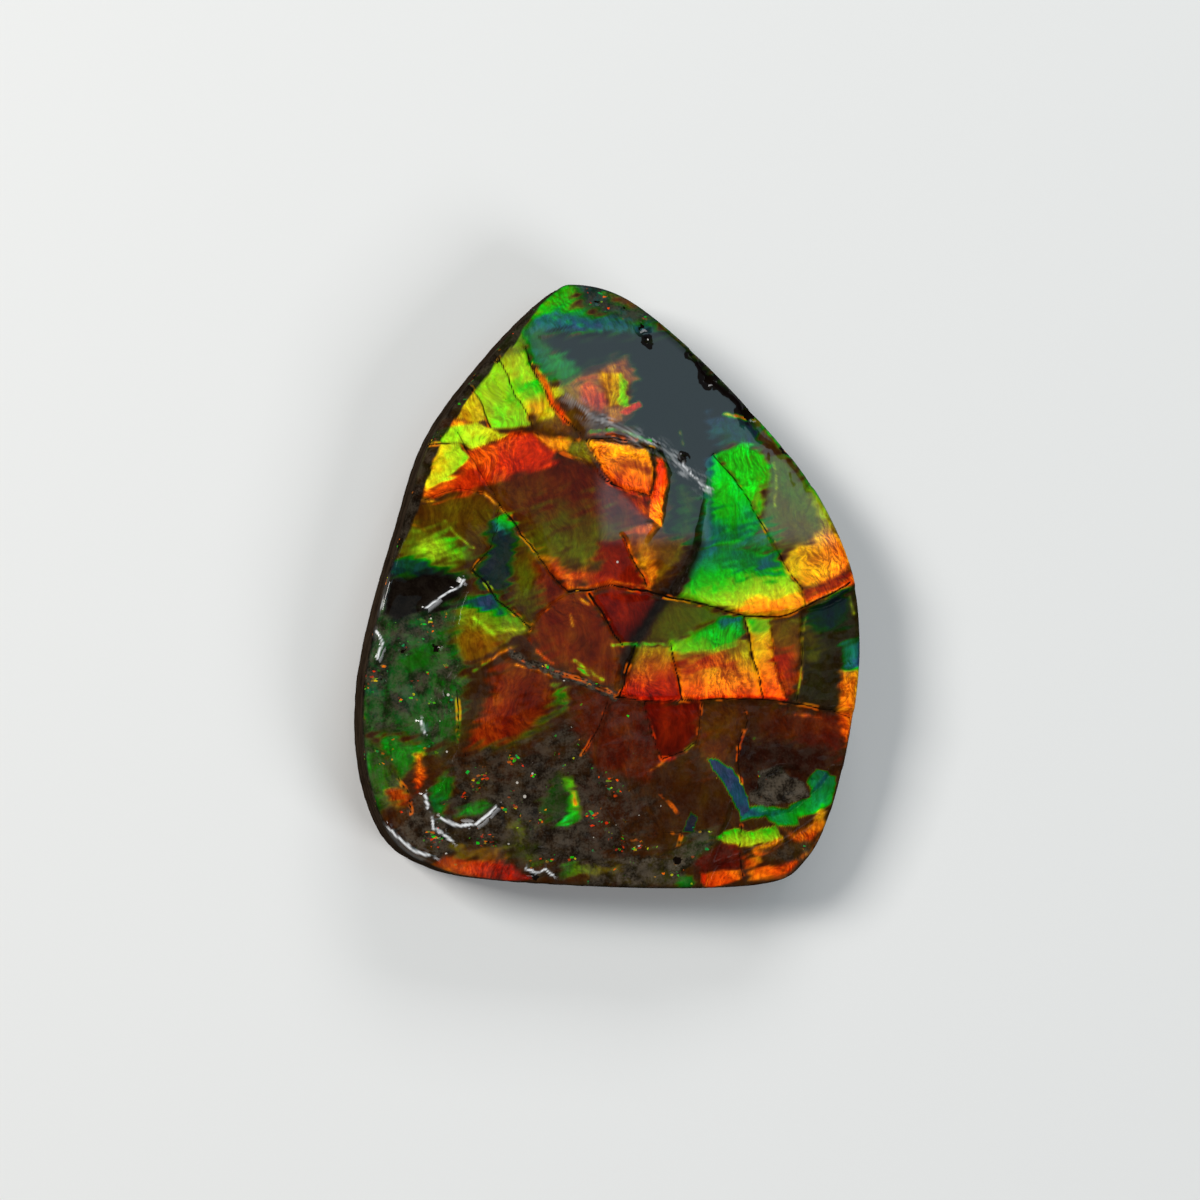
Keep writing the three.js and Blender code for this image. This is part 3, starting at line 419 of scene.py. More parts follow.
        ([(-14.6, 12.4), (-12.4, 13.7), (-10.4, 14.4), (-9.6, 13.4), (-12.0, 11.8), (-14.0, 11.2)],
         (0.25, 0.18), (0.88, 0.85), 0, 0.72, 0),
        ([(-10.4, 13.0), (-8.2, 14.4), (-6.4, 13.2), (-8.0, 11.6), (-10.6, 11.4)], (0.13, 0.18),
         (0.86, 0.94), 60, 1.08, 0),
        ([(-8.0, 14.9), (-4.2, 14.4), (-4.5, 13.1), (-6.4, 13.5)], (0.36, 0.32), (1.0, 0.95), 0, 0.15, 0),
        ([(-4.4, 14.4), (-2.8, 14.2), (-1.9, 12.3), (-2.8, 12.0), (-4.6, 12.9)], (0.5, 0.42), (0.5, 0.56),
         0, 0.54, 0.15),
        ([(-2.6, 14.4), (3.3, 13.5), (3.7, 12.0), (3.9, 10.8), (3.5, 8.9), (1.0, 9.4), (-0.6, 10.6),
          (-1.7, 12.4)], (0.24, 0.36), (0.95, 1.18), 80, 0.12, 0),
        ([(0.0, 12.2), (3.4, 12.0), (3.6, 11.0), (0.8, 11.2)], (0.22, 0.22), (0.56, 0.56), 0, 0.72, 0),
        ([(4.2, 12.6), (4.7, 12.8), (5.2, 11.7), (5.3, 10.2), (4.9, 8.6), (4.7, 6.0), (3.4, 6.8),
          (3.7, 8.8), (4.2, 10.4)], (0.26, 0.15), (1.2, 1.2), 80, 0.14, 0),
        ([(0.0, 9.4), (3.4, 8.7), (3.0, 7.2), (3.4, 6.6), (1.4, 7.6)], (0.18, 0.2), (0.36, 0.72),
         0, 0.63, 0),
        # lime and lemon panes
        ([(-14.2, 19.8), (-11.3, 22.3), (-10.4, 20.4), (-8.8, 17.2), (-8.2, 15.7), (-10.2, 15.2),
          (-12.0, 15.4), (-12.7, 16.7), (-13.2, 18.1)], (0.58, 0.64), (0.92, 0.98), 0, 0.12, 0),
        ([(-11.3, 22.3), (-8.8, 23.2), (-8.1, 21.5), (-7.2, 19.7), (-6.1, 17.6), (-5.6, 16.1),
          (-8.1, 15.7), (-8.8, 17.2), (-9.9, 18.8), (-10.4, 20.4)], (0.5, 0.58), (0.9, 0.92),
         90, 0.12, 0),
        ([(-10.0, 20.0), (-7.4, 20.2), (-6.8, 18.8), (-9.0, 18.0)], (0.66, 0.68), (0.95, 0.95),
         0, 0.9, 0),
        ([(-8.6, 18.0), (-6.6, 18.2), (-5.8, 16.4), (-7.8, 16.0)], (0.38, 0.46), (0.95, 0.92),
         90, 0.72, 0),
        ([(-8.2, 16.4), (-5.6, 16.4), (-4.4, 15.2), (-6.1, 14.8), (-8.2, 15.2)], (0.4, 0.34), (0.3, 0.5),
         0, 0.54, 0.1),
        ([(-12.4, 22.8), (-10.8, 24.8), (-8.8, 26.2), (-8.1, 24.4), (-8.8, 23.2), (-11.0, 22.4)],
         (0.5, 0.62), (0.7, 0.66), 0, 0.45, 0.2),
        ([(-16.2, 16.7), (-14.2, 19.4), (-13.1, 17.8), (-12.7, 16.2), (-13.6, 15.8), (-15.9, 16.4)],
         (0.4, 0.46), (0.8, 0.85), 0, 0.14, 0),
        ([(-16.8, 16.4), (-13.7, 15.8), (-15.2, 15.1), (-17.4, 15.0)], (0.3, 0.34), (1.0, 0.95),
         0, 0.36, 0),
        ([(-17.6, 15.1), (-13.6, 15.9), (-11.8, 15.2), (-10.6, 14.7), (-12.4, 13.8), (-14.0, 13.3),
          (-15.2, 13.8), (-18.2, 13.8)], (0.6, 0.5), (0.98, 1.08), 0, 0.15, 0),
        ([(-18.4, 13.6), (-15.2, 13.7), (-14.2, 12.4), (-15.8, 10.8), (-17.7, 9.6), (-19.4, 9.8),
          (-19.2, 12.0)], (0.34, 0.64), (1.05, 1.0), -10, 0.14, 0),
        ([(-18.6, 11.4), (-16.4, 11.6), (-15.8, 10.9), (-17.7, 9.6), (-19.0, 10.0)], (0.46, 0.56),
         (1.0, 1.05), 0, 0.72, 0),
        # pointed end
        ([(-9.0, 26.2), (-6.3, 29.0), (-4.4, 30.2), (-3.2, 29.6), (-4.1, 27.6), (-2.3, 26.7),
          (-5.8, 26.3)], (0.6, 0.72), (0.75, 0.8), 30, 0.45, 0),
        ([(-4.0, 30.0), (-1.3, 30.2), (1.7, 28.8), (4.8, 27.0), (3.4, 25.6), (-0.8, 26.7), (-2.6, 27.6)],
         (0.88, 0.86), (0.46, 0.4), 0, 0.54, 0.35),
        ([(-8.9, 25.2), (-6.8, 27.0), (-2.3, 26.7), (0.9, 26.3), (4.0, 25.8), (5.6, 24.6), (3.0, 24.3),
          (-2.3, 25.1), (-5.3, 24.9), (-8.3, 24.3)], (0.93, 0.9), (0.95, 0.6), 0, 0.54, 0.05),
        ([(-0.8, 29.0), (2.2, 28.7), (3.0, 27.6), (0.2, 28.0)], (0.28, 0.34), (0.45, 0.4), 0, 0.54, 0.3),
        # under the veil
        ([(-7.4, 24.7), (-1.3, 24.9), (5.7, 25.0), (12.6, 19.4), (15.0, 16.6), (11.0, 13.8), (9.0, 9.6),
          (8.8, 4.6), (5.4, 5.2), (5.4, 12.0), (1.2, 16.0), (1.6, 20.0), (1.2, 22.4), (-4.3, 21.1)],
         (0.95, 0.95), (0.12, 0.1), 0, 0.72, 0),
        ([(6.6, 9.6), (8.0, 9.4), (8.0, 4.6), (6.2, 4.8)], (0.66, 0.62), (0.28, 0.3), 0, 0.72, 0),
        ([(-8.9, 25.0), (-7.6, 24.4), (-5.2, 22.6), (-3.6, 21.0), (-4.9, 19.2), (-7.0, 20.4),
          (-8.3, 22.8)], (0.7, 0.88), (0.5, 0.56), 90, 0.72, 0),
        ([(-7.6, 22.6), (-5.0, 22.2), (-4.3, 21.2), (-6.8, 20.8)], (0.84, 0.8), (0.72, 0.66), 0, 0.72, 0),
        ([(-8.0, 21.8), (-7.1, 20.9), (-6.1, 18.8), (-4.0, 15.9), (-5.0, 16.0), (-6.7, 18.6)],
         (0.13, 0.36), (0.9, 0.85), 100, 0.14, 0),
        ([(-6.3, 19.4), (-5.0, 19.7), (-4.8, 18.8), (-5.8, 18.3)], (0.42, 0.56), (0.85, 0.8), 0, 0.15, 0),
        ([(-5.6, 18.2), (-4.2, 18.8), (-2.4, 17.2), (-0.8, 16.0), (-2.2, 15.3), (-4.0, 15.6)],
         (0.34, 0.4), (0.3, 0.28), 0, 0.54, 0),
        ([(-5.0, 19.5), (-2.9, 20.5), (-0.8, 21.8), (1.2, 22.4), (2.2, 20.6), (1.4, 19.7), (1.3, 17.7),
          (-0.2, 16.8), (-2.4, 17.2), (-4.4, 18.4)], (0.4, 0.3), (0.5, 0.5), 0, 0.54, 0),
        ([(-3.6, 19.6), (-2.6, 20.3), (-1.2, 19.7), (-0.6, 18.2), (-1.4, 17.4), (-2.8, 17.8)],
         (0.24, 0.17), (0.72, 0.75), 0, 0.63, 0),
        ([(-1.5, 21.0), (-0.2, 21.5), (0.7, 20.6), (0.6, 18.0), (-0.4, 17.7), (-0.7, 19.2)], (0.36, 0.46),
         (0.82, 0.82), 0, 0.36, 0),
        ([(0.5, 20.9), (1.3, 20.4), (1.4, 17.8), (0.5, 17.8)], (0.6, 0.64), (0.9, 0.85), 0, 0.14, 0),
        ([(-0.9, 17.6), (0.7, 17.8), (0.6, 16.3), (-0.2, 15.9)], (0.36, 0.34), (0.7, 0.7), 0, 0.36, 0),
        ([(0.6, 17.2), (2.4, 18.3), (2.7, 17.6), (1.1, 16.8)], (0.14, 0.14), (0.85, 0.8), 0, 0.14, 0),
        # emerald plate, the dull rim beside it and its golden foot
        ([(9.3, 17.2), (12.0, 17.0), (14.8, 15.8), (14.6, 14.2), (11.6, 14.2), (9.4, 14.8)], (0.9, 0.94),
         (0.6, 0.5), 0, 0.72, 0),
        ([(14.4, 13.8), (17.0, 13.0), (19.6, 10.8), (21.6, 7.8), (22.2, 5.2), (19.0, 4.2), (16.0, 3.4),
          (14.4, 6.2), (15.0, 9.0), (15.5, 12.0)], (0.46, 0.62), (0.38, 0.42), 110, 0.72, 0.1),
        ([(19.0, 11.4), (21.0, 9.2), (23.0, 5.6), (21.4, 5.2), (19.9, 8.2)], (0.4, 0.6), (0.66, 0.6),
         110, 0.45, 0),
        ([(9.1, 12.3), (9.8, 13.2), (12.0, 10.9), (13.3, 9.2), (14.5, 6.2), (13.5, 4.5), (8.8, 3.8),
          (9.0, 7.4), (9.1, 10.5)], (0.76, 0.75), (0.72, 1.12), 90, 0.16, 0),
        ([(9.0, 12.4), (9.5, 13.0), (9.8, 8.0), (9.4, 4.0), (8.7, 4.0), (9.0, 8.0)], (0.9, 0.86),
         (0.75, 0.7), 0, 0.4, 0),
        ([(10.0, 13.2), (12.8, 14.2), (14.7, 13.6), (15.5, 12.0), (15.4, 10.4), (14.6, 10.0), (15.0, 8.4),
          (14.4, 7.2), (13.1, 9.4), (12.0, 11.0)], (0.64, 0.76), (0.85, 1.0), 135, 0.36, 0),
        ([(9.3, 6.4), (12.4, 6.0), (14.6, 5.8), (15.6, 4.6), (15.9, 3.6), (12.0, 3.8), (8.6, 3.7)],
         (0.85, 0.83), (0.6, 0.66), 0, 1.9, 0),
        ([(7.9, 3.6), (9.8, 4.0), (15.9, 3.4), (16.8, 2.4), (17.2, 1.6), (18.2, 0.6), (18.8, -0.6),
          (19.0, -1.8), (16.6, -2.8), (13.0, -2.7), (9.6, -1.8), (6.3, -1.3), (7.2, 0.7)], (0.36, 0.9),
         (1.03, 0.72), 107, 0.3, 0),
        ([(11.5, 4.0), (16.0, 3.2), (16.4, 1.6), (13.0, 1.4), (10.6, 2.8)], (0.8, 0.84), (0.6, 0.64),
         0, 1.0, 0),
        ([(11.6, -2.5), (13.0, -1.5), (15.5, -1.2), (18.8, -0.7), (19.0, -1.9), (16.6, -2.8),
          (13.0, -2.7)], (0.27, 0.36), (1.05, 1.05), 90, 0.6, 0),
        ([(14.6, 2.6), (15.8, 3.2), (16.4, 2.4), (15.6, 1.5), (14.4, 1.6)], (0.92, 0.92), (0.75, 0.75),
         0, 0.63, 0),
        ([(16.7, 3.0), (19.0, 4.4), (21.6, 6.0), (23.6, 4.4), (24.0, 2.0), (21.0, 0.5), (18.9, -0.1),
          (17.4, 1.6)], (0.46, 0.27), (0.9, 1.05), -15, 0.45, 0),
        ([(18.9, -0.3), (23.8, 1.8), (24.2, 0.8), (19.2, -1.6)], (0.2, 0.16), (0.6, 0.6), 0, 0.36, 0),
        ([(19.0, -1.2), (24.2, 1.3), (24.4, 0.7), (19.2, -1.7)], (0.2, 0.24), (1.0, 1.0), 0, 0.14, 0),
        # band of fire
        ([(5.2, -1.3), (9.8, -2.1), (10.6, -2.8), (7.6, -4.7), (5.5, -5.4), (3.1, -5.4), (4.4, -2.8)],
         (0.48, 0.54), (0.3, 0.36), 0, 0.36, 0),
        ([(18.7, -2.4), (24.6, 0.4), (25.0, -6.9), (23.4, -12.4), (17.4, -11.2), (18.4, -9.2)],
         (0.44, 0.5), (0.13, 0.13), 90, 0.54, 0.1),
        ([(19.6, -1.8), (23.2, 0.0), (23.0, -3.4), (20.8, -4.6), (19.4, -3.6)], (0.9, 0.9), (0.3, 0.3),
         0, 0.9, 0),
        ([(19.1, -3.8), (20.6, -4.6), (20.4, -7.8), (19.0, -7.0)], (0.48, 0.48), (0.28, 0.28), 0, 0.9, 0),
        ([(1.6, -5.9), (5.6, -6.0), (6.6, -10.9), (3.0, -11.2), (0.6, -10.6)], (0.03, 0.46), (0.76, 0.64),
         90, 0.15, 0),
        ([(5.7, -6.0), (13.2, -5.0), (14.8, -11.0), (6.7, -11.0)], (0.22, 0.5), (1.04, 0.62),
         90, 0.14, 0),
        ([(6.2, -6.4), (9.6, -6.0), (12.6, -5.0), (13.0, -6.0), (10.0, -7.2), (6.4, -7.4)], (0.44, 0.44),
         (0.42, 0.5), 0, 0.5, 0),
        ([(6.4, -7.2), (10.6, -6.4), (11.6, -8.0), (7.0, -8.8)], (0.2, 0.24), (0.68, 0.72), 0, 0.9, 0),
        ([(12.9, -3.0), (15.3, -3.3), (15.8, -5.6), (16.4, -9.3), (17.2, -11.1), (14.8, -11.0),
          (13.9, -7.4)], (0.22, 0.5), (1.18, 0.78), 90, 0.15, 0),
        ([(15.4, -3.3), (18.5, -2.8), (18.6, -5.2), (18.3, -9.3), (17.2, -11.1), (16.3, -9.3)],
         (0.16, 0.44), (0.5, 0.34), 90, 0.36, 0),
        ([(16.0, -6.4), (17.6, -6.2), (17.8, -8.6), (16.6, -9.4)], (0.16, 0.22), (0.72, 0.66),
         0, 0.72, 0),
        ([(5.6, -5.5), (7.9, -4.5), (10.2, -3.3), (12.7, -2.8), (13.0, -4.6), (11.6, -5.7), (9.6, -6.4),
          (6.7, -6.6), (5.8, -6.2)], (0.6, 0.82), (0.88, 0.76), 75, 0.36, 0),
        ([(10.2, -3.4), (12.7, -2.9), (12.8, -3.6), (11.0, -3.9)], (0.9, 0.88), (0.75, 0.75), 0, 0.36, 0),
        ([(13.1, -3.0), (15.3, -3.3), (15.2, -4.4), (13.5, -4.6)], (0.66, 0.6), (0.8, 0.8), 0, 0.45, 0),
        ([(22.9, -5.6), (24.8, -5.0), (25.0, -8.0), (23.2, -8.0)], (0.9, 0.86), (0.8, 0.8), 0, 0.45, 0),
        ([(22.8, -8.2), (25.0, -8.0), (24.6, -12.4), (23.4, -15.6), (22.4, -11.8)], (0.2, 0.34),
         (0.84, 0.92), 90, 0.36, 0),
    ],
    # painted shade in a hollow that runs down the middle: line, half width
    "valleyShade": ([(8.2, 4.2), (6.9, 0.9), (5.1, -1.1), (3.4, -3.4), (1.9, -5.7), (1.0, -8.6)], 0.62),
    # bright lines along broken edges: line, order, glow, half width
    "glints": [
        ([(-4.4, -0.2), (-2.8, -0.2), (-0.3, 0.4), (3.2, 0.0)], 0.26, 0.9, 0.13),
        ([(0.9, 4.6), (1.9, 2.9), (3.4, 0.2)], 0.24, 1.05, 0.16),
        ([(-12.8, 9.0), (-12.0, 8.2), (-10.9, 7.3)], 0.36, 1.0, 0.16),
        ([(-20.4, 9.2), (-18.6, 8.2), (-17.6, 8.2)], 0.38, 1.0, 0.16),
        ([(-8.8, -5.0), (-7.4, -6.6), (-6.0, -7.8)], 0.22, 0.9, 0.13),
        ([(-9.6, -7.9), (-7.6, -8.4), (-6.2, -9.1)], 0.3, 0.95, 0.14),
        ([(-12.9, -7.7), (-11.4, -6.9), (-10.3, -6.3)], 0.32, 0.95, 0.18),
        ([(-15.2, -9.6), (-13.4, -8.3), (-12.4, -7.5)], 0.66, 0.7, 0.14),
        ([(-4.5, -2.6), (-4.1, -4.0)], 0.36, 0.8, 0.12),
        ([(-3.9, -7.4), (-2.4, -8.4), (-1.2, -9.2)], 0.62, 0.95, 0.16),
        ([(-3.6, -8.2), (-2.6, -8.8)], 0.72, 0.9, 0.16),
        ([(-2.6, -1.9), (-3.4, -1.2)], 0.36, 0.9, 0.14),
        ([(-16.6, 6.2), (-15.4, 4.8), (-13.8, 3.6)], 0.6, 0.9, 0.12),
        ([(-20.8, 6.3), (-18.6, 5.2)], 0.34, 0.6, 0.12),
        ([(-0.2, -5.9), (1.0, -5.7), (3.0, -5.6), (5.4, -5.8)], 0.68, 1.0, 0.15),
        ([(1.7, -5.7), (2.4, -5.7)], 0.86, 1.0, 0.2),
        ([(0.4, -10.6), (1.5, -11.0), (3.0, -11.1), (6.8, -10.9), (12.5, -10.9), (17.2, -11.1)],
         0.1, 1.05, 0.13),
        ([(3.6, -18.2), (5.2, -17.2)], 0.3, 0.95, 0.15),
        ([(5.2, -17.3), (6.0, -16.9)], 0.1, 1.0, 0.15),
        ([(6.9, -16.2), (7.9, -15.5)], 0.52, 0.95, 0.15),
        ([(18.3, -12.5), (20.8, -12.8)], 0.24, 0.95, 0.16),
        ([(19.2, -2.9), (18.8, -5.4), (18.7, -8.0), (18.3, -10.4)], 0.48, 0.7, 0.12),
        ([(-18.9, -17.2), (-18.9, -19.5)], 0.24, 0.9, 0.16),
        ([(-15.2, -12.4), (-15.3, -15.4)], 0.7, 0.6, 0.1),
        ([(-14.7, -2.9), (-13.3, -3.8), (-11.9, -4.9)], 0.6, 1.05, 0.22),
        ([(-11.6, -4.4), (-10.0, -4.4), (-9.1, -4.3)], 0.56, 0.95, 0.18),
        ([(-24.8, -9.4), (-24.6, -12.0), (-24.4, -14.0)], 0.34, 0.95, 0.3),
        ([(-24.8, -8.0), (-24.6, -9.6)], 0.56, 0.8, 0.3),
        ([(-23.9, -16.5), (-23.7, -20.0), (-22.8, -23.4)], 0.78, 0.75, 0.2),
        ([(-6.3, 26.6), (-1.3, 25.2)], 0.72, 0.7, 0.18),
        ([(0.7, 26.4), (3.7, 25.8)], 0.74, 0.6, 0.18),
        ([(5.2, 26.0), (9.0, 23.0)], 0.72, 1.0, 0.3),
        ([(14.4, 17.0), (18.0, 13.2), (21.2, 8.9)], 0.7, 1.05, 0.34),
        ([(11.0, 17.2), (12.2, 16.9)], 0.46, 0.9, 0.16),
        ([(12.2, 16.9), (14.6, 16.6)], 0.16, 0.9, 0.16),
        ([(16.0, 12.3), (16.2, 10.0), (16.1, 8.1)], 0.54, 0.8, 0.13),
        ([(6.6, 15.2), (6.9, 14.0)], 0.5, 0.5, 0.16),
        ([(-4.0, -20.4), (-3.8, -21.4)], 0.3, 1.0, 0.18),
        ([(-2.4, 15.2), (0.1, 15.3), (2.0, 14.9), (3.6, 14.3)], 0.73, 1.05, 0.16),
        ([(-2.6, 14.9), (0.2, 14.9), (2.2, 14.5)], 0.2, 0.8, 0.09),
        ([(-0.8, 10.0), (1.2, 9.3), (3.4, 8.6)], 0.2, 1.0, 0.1),
        ([(23.6, 0.0), (24.0, -2.4)], 0.52, 0.7, 0.14),
        ([(17.0, -27.9), (20.0, -26.0), (21.4, -24.0)], 0.3, 0.7, 0.2),
        ([(16.8, -17.9), (17.1, -18.6)], 0.78, 0.8, 0.12),
        ([(14.0, -14.9), (14.4, -15.4)], 0.88, 0.8, 0.16),
    ],
    # pale scratches along the crease that are partly a painted highlight, a white squiggle at its end that is
    # partly scratched and partly a painted highlight, and the width of the painted highlights on the lips
    "scratchesAndPaintedHighlights": {
        "line": [(-4.7, 18.8), (-3.4, 17.6), (-1.7, 16.5), (0.1, 15.6), (1.9, 14.9), (3.7, 14.0), (5.5, 13.1),
                 (6.8, 11.6), (8.0, 10.7), (9.4, 9.6)],
        "turn": -28.0,
        "halfWidth": 0.17,
        "squiggle": [(6.9, 12.4), (6.8, 11.9), (7.4, 11.5), (7.5, 11.0), (8.1, 10.7), (8.5, 10.2),
                     (9.2, 9.9)],
        "lipHighlightWidth": 0.2,
    },
    # the dark foot of the shell's edge that shows along the upper left side
    "margin": {"width": 0.9, "foot": 1.8, "head": 28.0},
}
paneParts = ("outline", "order", "glow", "turn", "soft", "crust")
colours["panes"] = [dict(zip(paneParts, pane)) for pane in colours["panes"]]


def faceHeight(places):
    out = places - rim["middle"]
    share = np.clip(np.hypot(*out.T) / rimReach(np.arctan2(out[:, 1], out[:, 0])), 0, 1)
    height = shell["rimTop"] + shell["crownRise"] * (1 - share**2.6)
    for x, y, radius, rise in shell["swells"]:
        height += rise * np.exp(-((places[:, 0] - x) ** 2 + (places[:, 1] - y) ** 2) / radius**2)
    return height


def ridge(marks, line, rise, halfWidth):
    return rise * np.exp(-((lineDistance(marks, line) / halfWidth) ** 2))


def plateLift(marks):
    # how far the broken plates stand above or below the dome
    lift = np.zeros(len(marks))
    for outline, rise, hinge, slope in shell["plates"]:
        share = insideShare(marks, outline, shell["ledgeSoft"])
        own = rise + slope[0] * (marks[:, 0] - hinge[0]) + slope[1] * (marks[:, 1] - hinge[1])
        lift = lift * (1 - share) + own * share
    return lift


def crackShape(marks):
    # millimetres from the wall of the nearest crack or pit, and the depth of the groove
    away = np.full(len(marks), 9.0)
    groove = np.zeros(len(marks))
    for line, width, depth in shell["cracks"]:
        near = lineDistance(marks, line) - width / 2
        away = np.minimum(away, near)
        groove = np.maximum(groove, depth * np.exp(-((np.maximum(near, 0) / shell["crackWall"]) ** 2)))
    ragged = wobble(marks, 0.45, 0.35, 12.0)
    for x, y, half, depth in shell["pits"]:
        far = np.hypot(ragged[:, 0] - x, ragged[:, 1] - y) / half
        away = np.where(far < 0.7, 0, away)
        groove = np.maximum(groove, depth * np.exp(-(far**2) * 1.4))
    return away, groove


def paintColours(marks):
    # order, glow and crust of every point of the face
    order = np.full(len(marks), colours["ground"]["order"])
    glow = np.full(len(marks), colours["ground"]["glow"])
    crust = np.full(len(marks), colours["ground"]["crust"])

    def lay(share, ownOrder, ownGlow):
        # the brighter of two colours decides the hue where they meet
        under, over = (1 - share) * (glow + 0.02), share * (ownGlow + 0.02)
        return (order * under + ownOrder * over) / (under + over), glow + share * (ownGlow - glow)

    turn = math.radians(colours["grainTurn"])
    along = marks @ np.array((math.cos(turn), math.sin(turn))) * 0.35
    across = marks @ np.array((-math.sin(turn), math.cos(turn))) * 1.4
    stray = 1.5 * noiseAt(np.column_stack((along, across)), 0.7, 24.0)
    for pane in colours["panes"]:
        share = insideShare(marks, pane["outline"], pane["soft"], stray)
        turn = math.radians(pane["turn"])
        way = np.array((math.cos(turn), math.sin(turn)))
        reach = np.array(pane["outline"]) @ way
        t = np.clip((marks @ way - reach.min()) / (reach.max() - reach.min()), 0, 1)
        order, glow = lay(share, pane["order"][0] + (pane["order"][1] - pane["order"][0]) * t,
                          pane["glow"][0] + (pane["glow"][1] - pane["glow"][0]) * t)
        crust += share * (pane["crust"] - crust)
    # painted shade down the hollow in the middle
    line, half = colours["valleyShade"]
    glow = glow * (1 - 0.85 * np.exp(-((lineDistance(marks, line) / half) ** 2)))
    broken = np.clip(0.55 + 1.1 * noiseAt(marks, 0.7, 23.0), 0, 1)
    for line, hue, shine, half in colours["glints"]:
        order, glow = lay(broken * np.exp(-((lineDistance(marks, line) / half) ** 2)), hue, shine)
    return order, glow, crust


def lipShare(marks, width):
    # 1 on the bruised lips of the rough corner
    near = [lineDistance(marks, line) / (width * half) for line, rise, half in shell["lips"]]
    return np.exp(-(np.min(near, axis=0) ** 4))


def paintScratchesAndHighlights(marks):
    # pale scratches along the crease with a painted highlight among them, and painted highlights on the lips
    scratchesAndPaintedHighlights = colours["scratchesAndPaintedHighlights"]
    turn = math.radians(scratchesAndPaintedHighlights["turn"])
    along = marks @ np.array((math.cos(turn), math.sin(turn)))
    across = marks @ np.array((-math.sin(turn), math.cos(turn)))
    hairs = noiseAt(np.column_stack((along * 0.3, across * 2.4)), 0.45, 41.0)
    fades = np.clip(0.6 + 0.8 * noiseAt(marks, 2.0, 42.0), 0, 1)
    near = lineDistance(marks, scratchesAndPaintedHighlights["line"]) / scratchesAndPaintedHighlights["halfWidth"]
    hairy = np.exp(-((near / 4) ** 2)) * np.clip(1.8 * hairs - 0.1, 0, 1)
    crease = fades * (0.3 * np.exp(-((near / 0.7) ** 2)) + 0.5 * hairy)
    broken = np.clip(1.25 + 1.9 * noiseAt(marks, 0.5, 43.0), 0, 1)
    speckled = np.clip(0.6 + 1.6 * noiseAt(marks, 0.25, 45.0), 0, 1)
    squiggle = speckled * np.exp(-((lineDistance(marks, scratchesAndPaintedHighlights["squiggle"]) / 0.09) ** 2))
    return np.maximum(np.maximum(crease, squiggle), broken * lipShare(marks, scratchesAndPaintedHighlights["lipHighlightWidth"]))


def insideRim(places):
    # millimetres from the rim, measured towards the middle
    out = places - rim["middle"]
    return rimReach(np.arctan2(out[:, 1], out[:, 0])) - np.hypot(*out.T)


def paintMargin(places):
    margin = colours["margin"]
    x, y = places.T
    width = np.clip((y - margin["foot"]) / 6, 0, 1) * np.clip((margin["head"] - y) / 4, 0, 1)
    width *= margin["width"]
    uneven = width * (1 + 0.3 * noiseAt(places, 1.4, 44.0)) - insideRim(places)
    return np.where((x < 0) & (width > 0), np.clip(0.5 + uneven / 0.16, 0, 1), 0)


def paintPolish(places, marks, away):
    polish = shell["satin"] + (1 - shell["satin"]) * insideShare(marks, shell["glassy"], 0.9)
    for outline, loss in shell["dull"]:
        polish = polish * (1 - loss * insideShare(marks, outline, 0.4))
    # none on the steps, beside the cracks or on the edge
    step = 0.15
    level = plateLift(marks)
    steep = np.hypot(plateLift(marks + (step, 0)) - level, plateLift(marks + (0, step)) - level) / step
    polish = polish * np.clip(away / 0.3, 0, 1) * np.clip(1.2 - 2 * steep, 0, 1)
    polish = polish * np.clip(insideRim(places) / 1.3, 0.1, 1)
    return np.maximum(polish, lipShare(marks, 1.0))


def selectNothing():
    if bpy.context.object and bpy.context.object.mode != "OBJECT":
        bpy.ops.object.mode_set(mode="OBJECT")
    bpy.ops.object.select_all(action="DESELECT")


def coordinates(obj):
    co = np.empty(len(obj.data.vertices) * 3)
    obj.data.vertices.foreach_get("co", co)
    return co.reshape(-1, 3)


def setCoordinates(obj, co):
    obj.data.vertices.foreach_set("co", co.ravel())
    obj.data.update()


def addGrid(name, columns, rows):
    # a square grid of side 2, which spreadPlaces takes out to the rim
    selectNothing()
    bpy.ops.mesh.primitive_grid_add(x_subdivisions=columns, y_subdivisions=rows, size=2)
    obj = bpy.context.object
    obj.name = obj.data.name = name
    return obj


def spreadPlaces(square, inset):
    # points of the square, |x| and |y| up to 1, moved out to the rim less an inset
    share = np.abs(square).max(axis=1)
    angles = np.arctan2(square[:, 1], square[:, 0])
    reach = share * (rimReach(angles) - inset)
    return rim["middle"] + reach[:, None] * np.column_stack((np.cos(angles), np.sin(angles)))


def extrudeRim(obj):
    # extrudes the open edge of a grid, or the ring that is still selected, and returns the new ring
    bpy.ops.object.mode_set(mode="EDIT")
    bpy.ops.mesh.select_mode(type="EDGE")
    bpy.ops.mesh.select_all(action="DESELECT")
    bpy.ops.mesh.select_non_manifold(extend=False)
    bpy.ops.mesh.extrude_edges_move()
    bpy.ops.object.mode_set(mode="OBJECT")
    picked = np.zeros(len(obj.data.vertices), bool)
    obj.data.vertices.foreach_get("select", picked)
    return np.flatnonzero(picked)


def closeRim(obj):
    bpy.ops.object.mode_set(mode="EDIT")
    bpy.ops.mesh.select_mode(type="EDGE")
    bpy.ops.mesh.select_all(action="DESELECT")
    bpy.ops.mesh.select_non_manifold(extend=False)
    bpy.ops.mesh.edge_face_add()
    bpy.ops.mesh.select_all(action="SELECT")
    bpy.ops.mesh.normals_make_consistent(inside=False)
    bpy.ops.object.mode_set(mode="OBJECT")


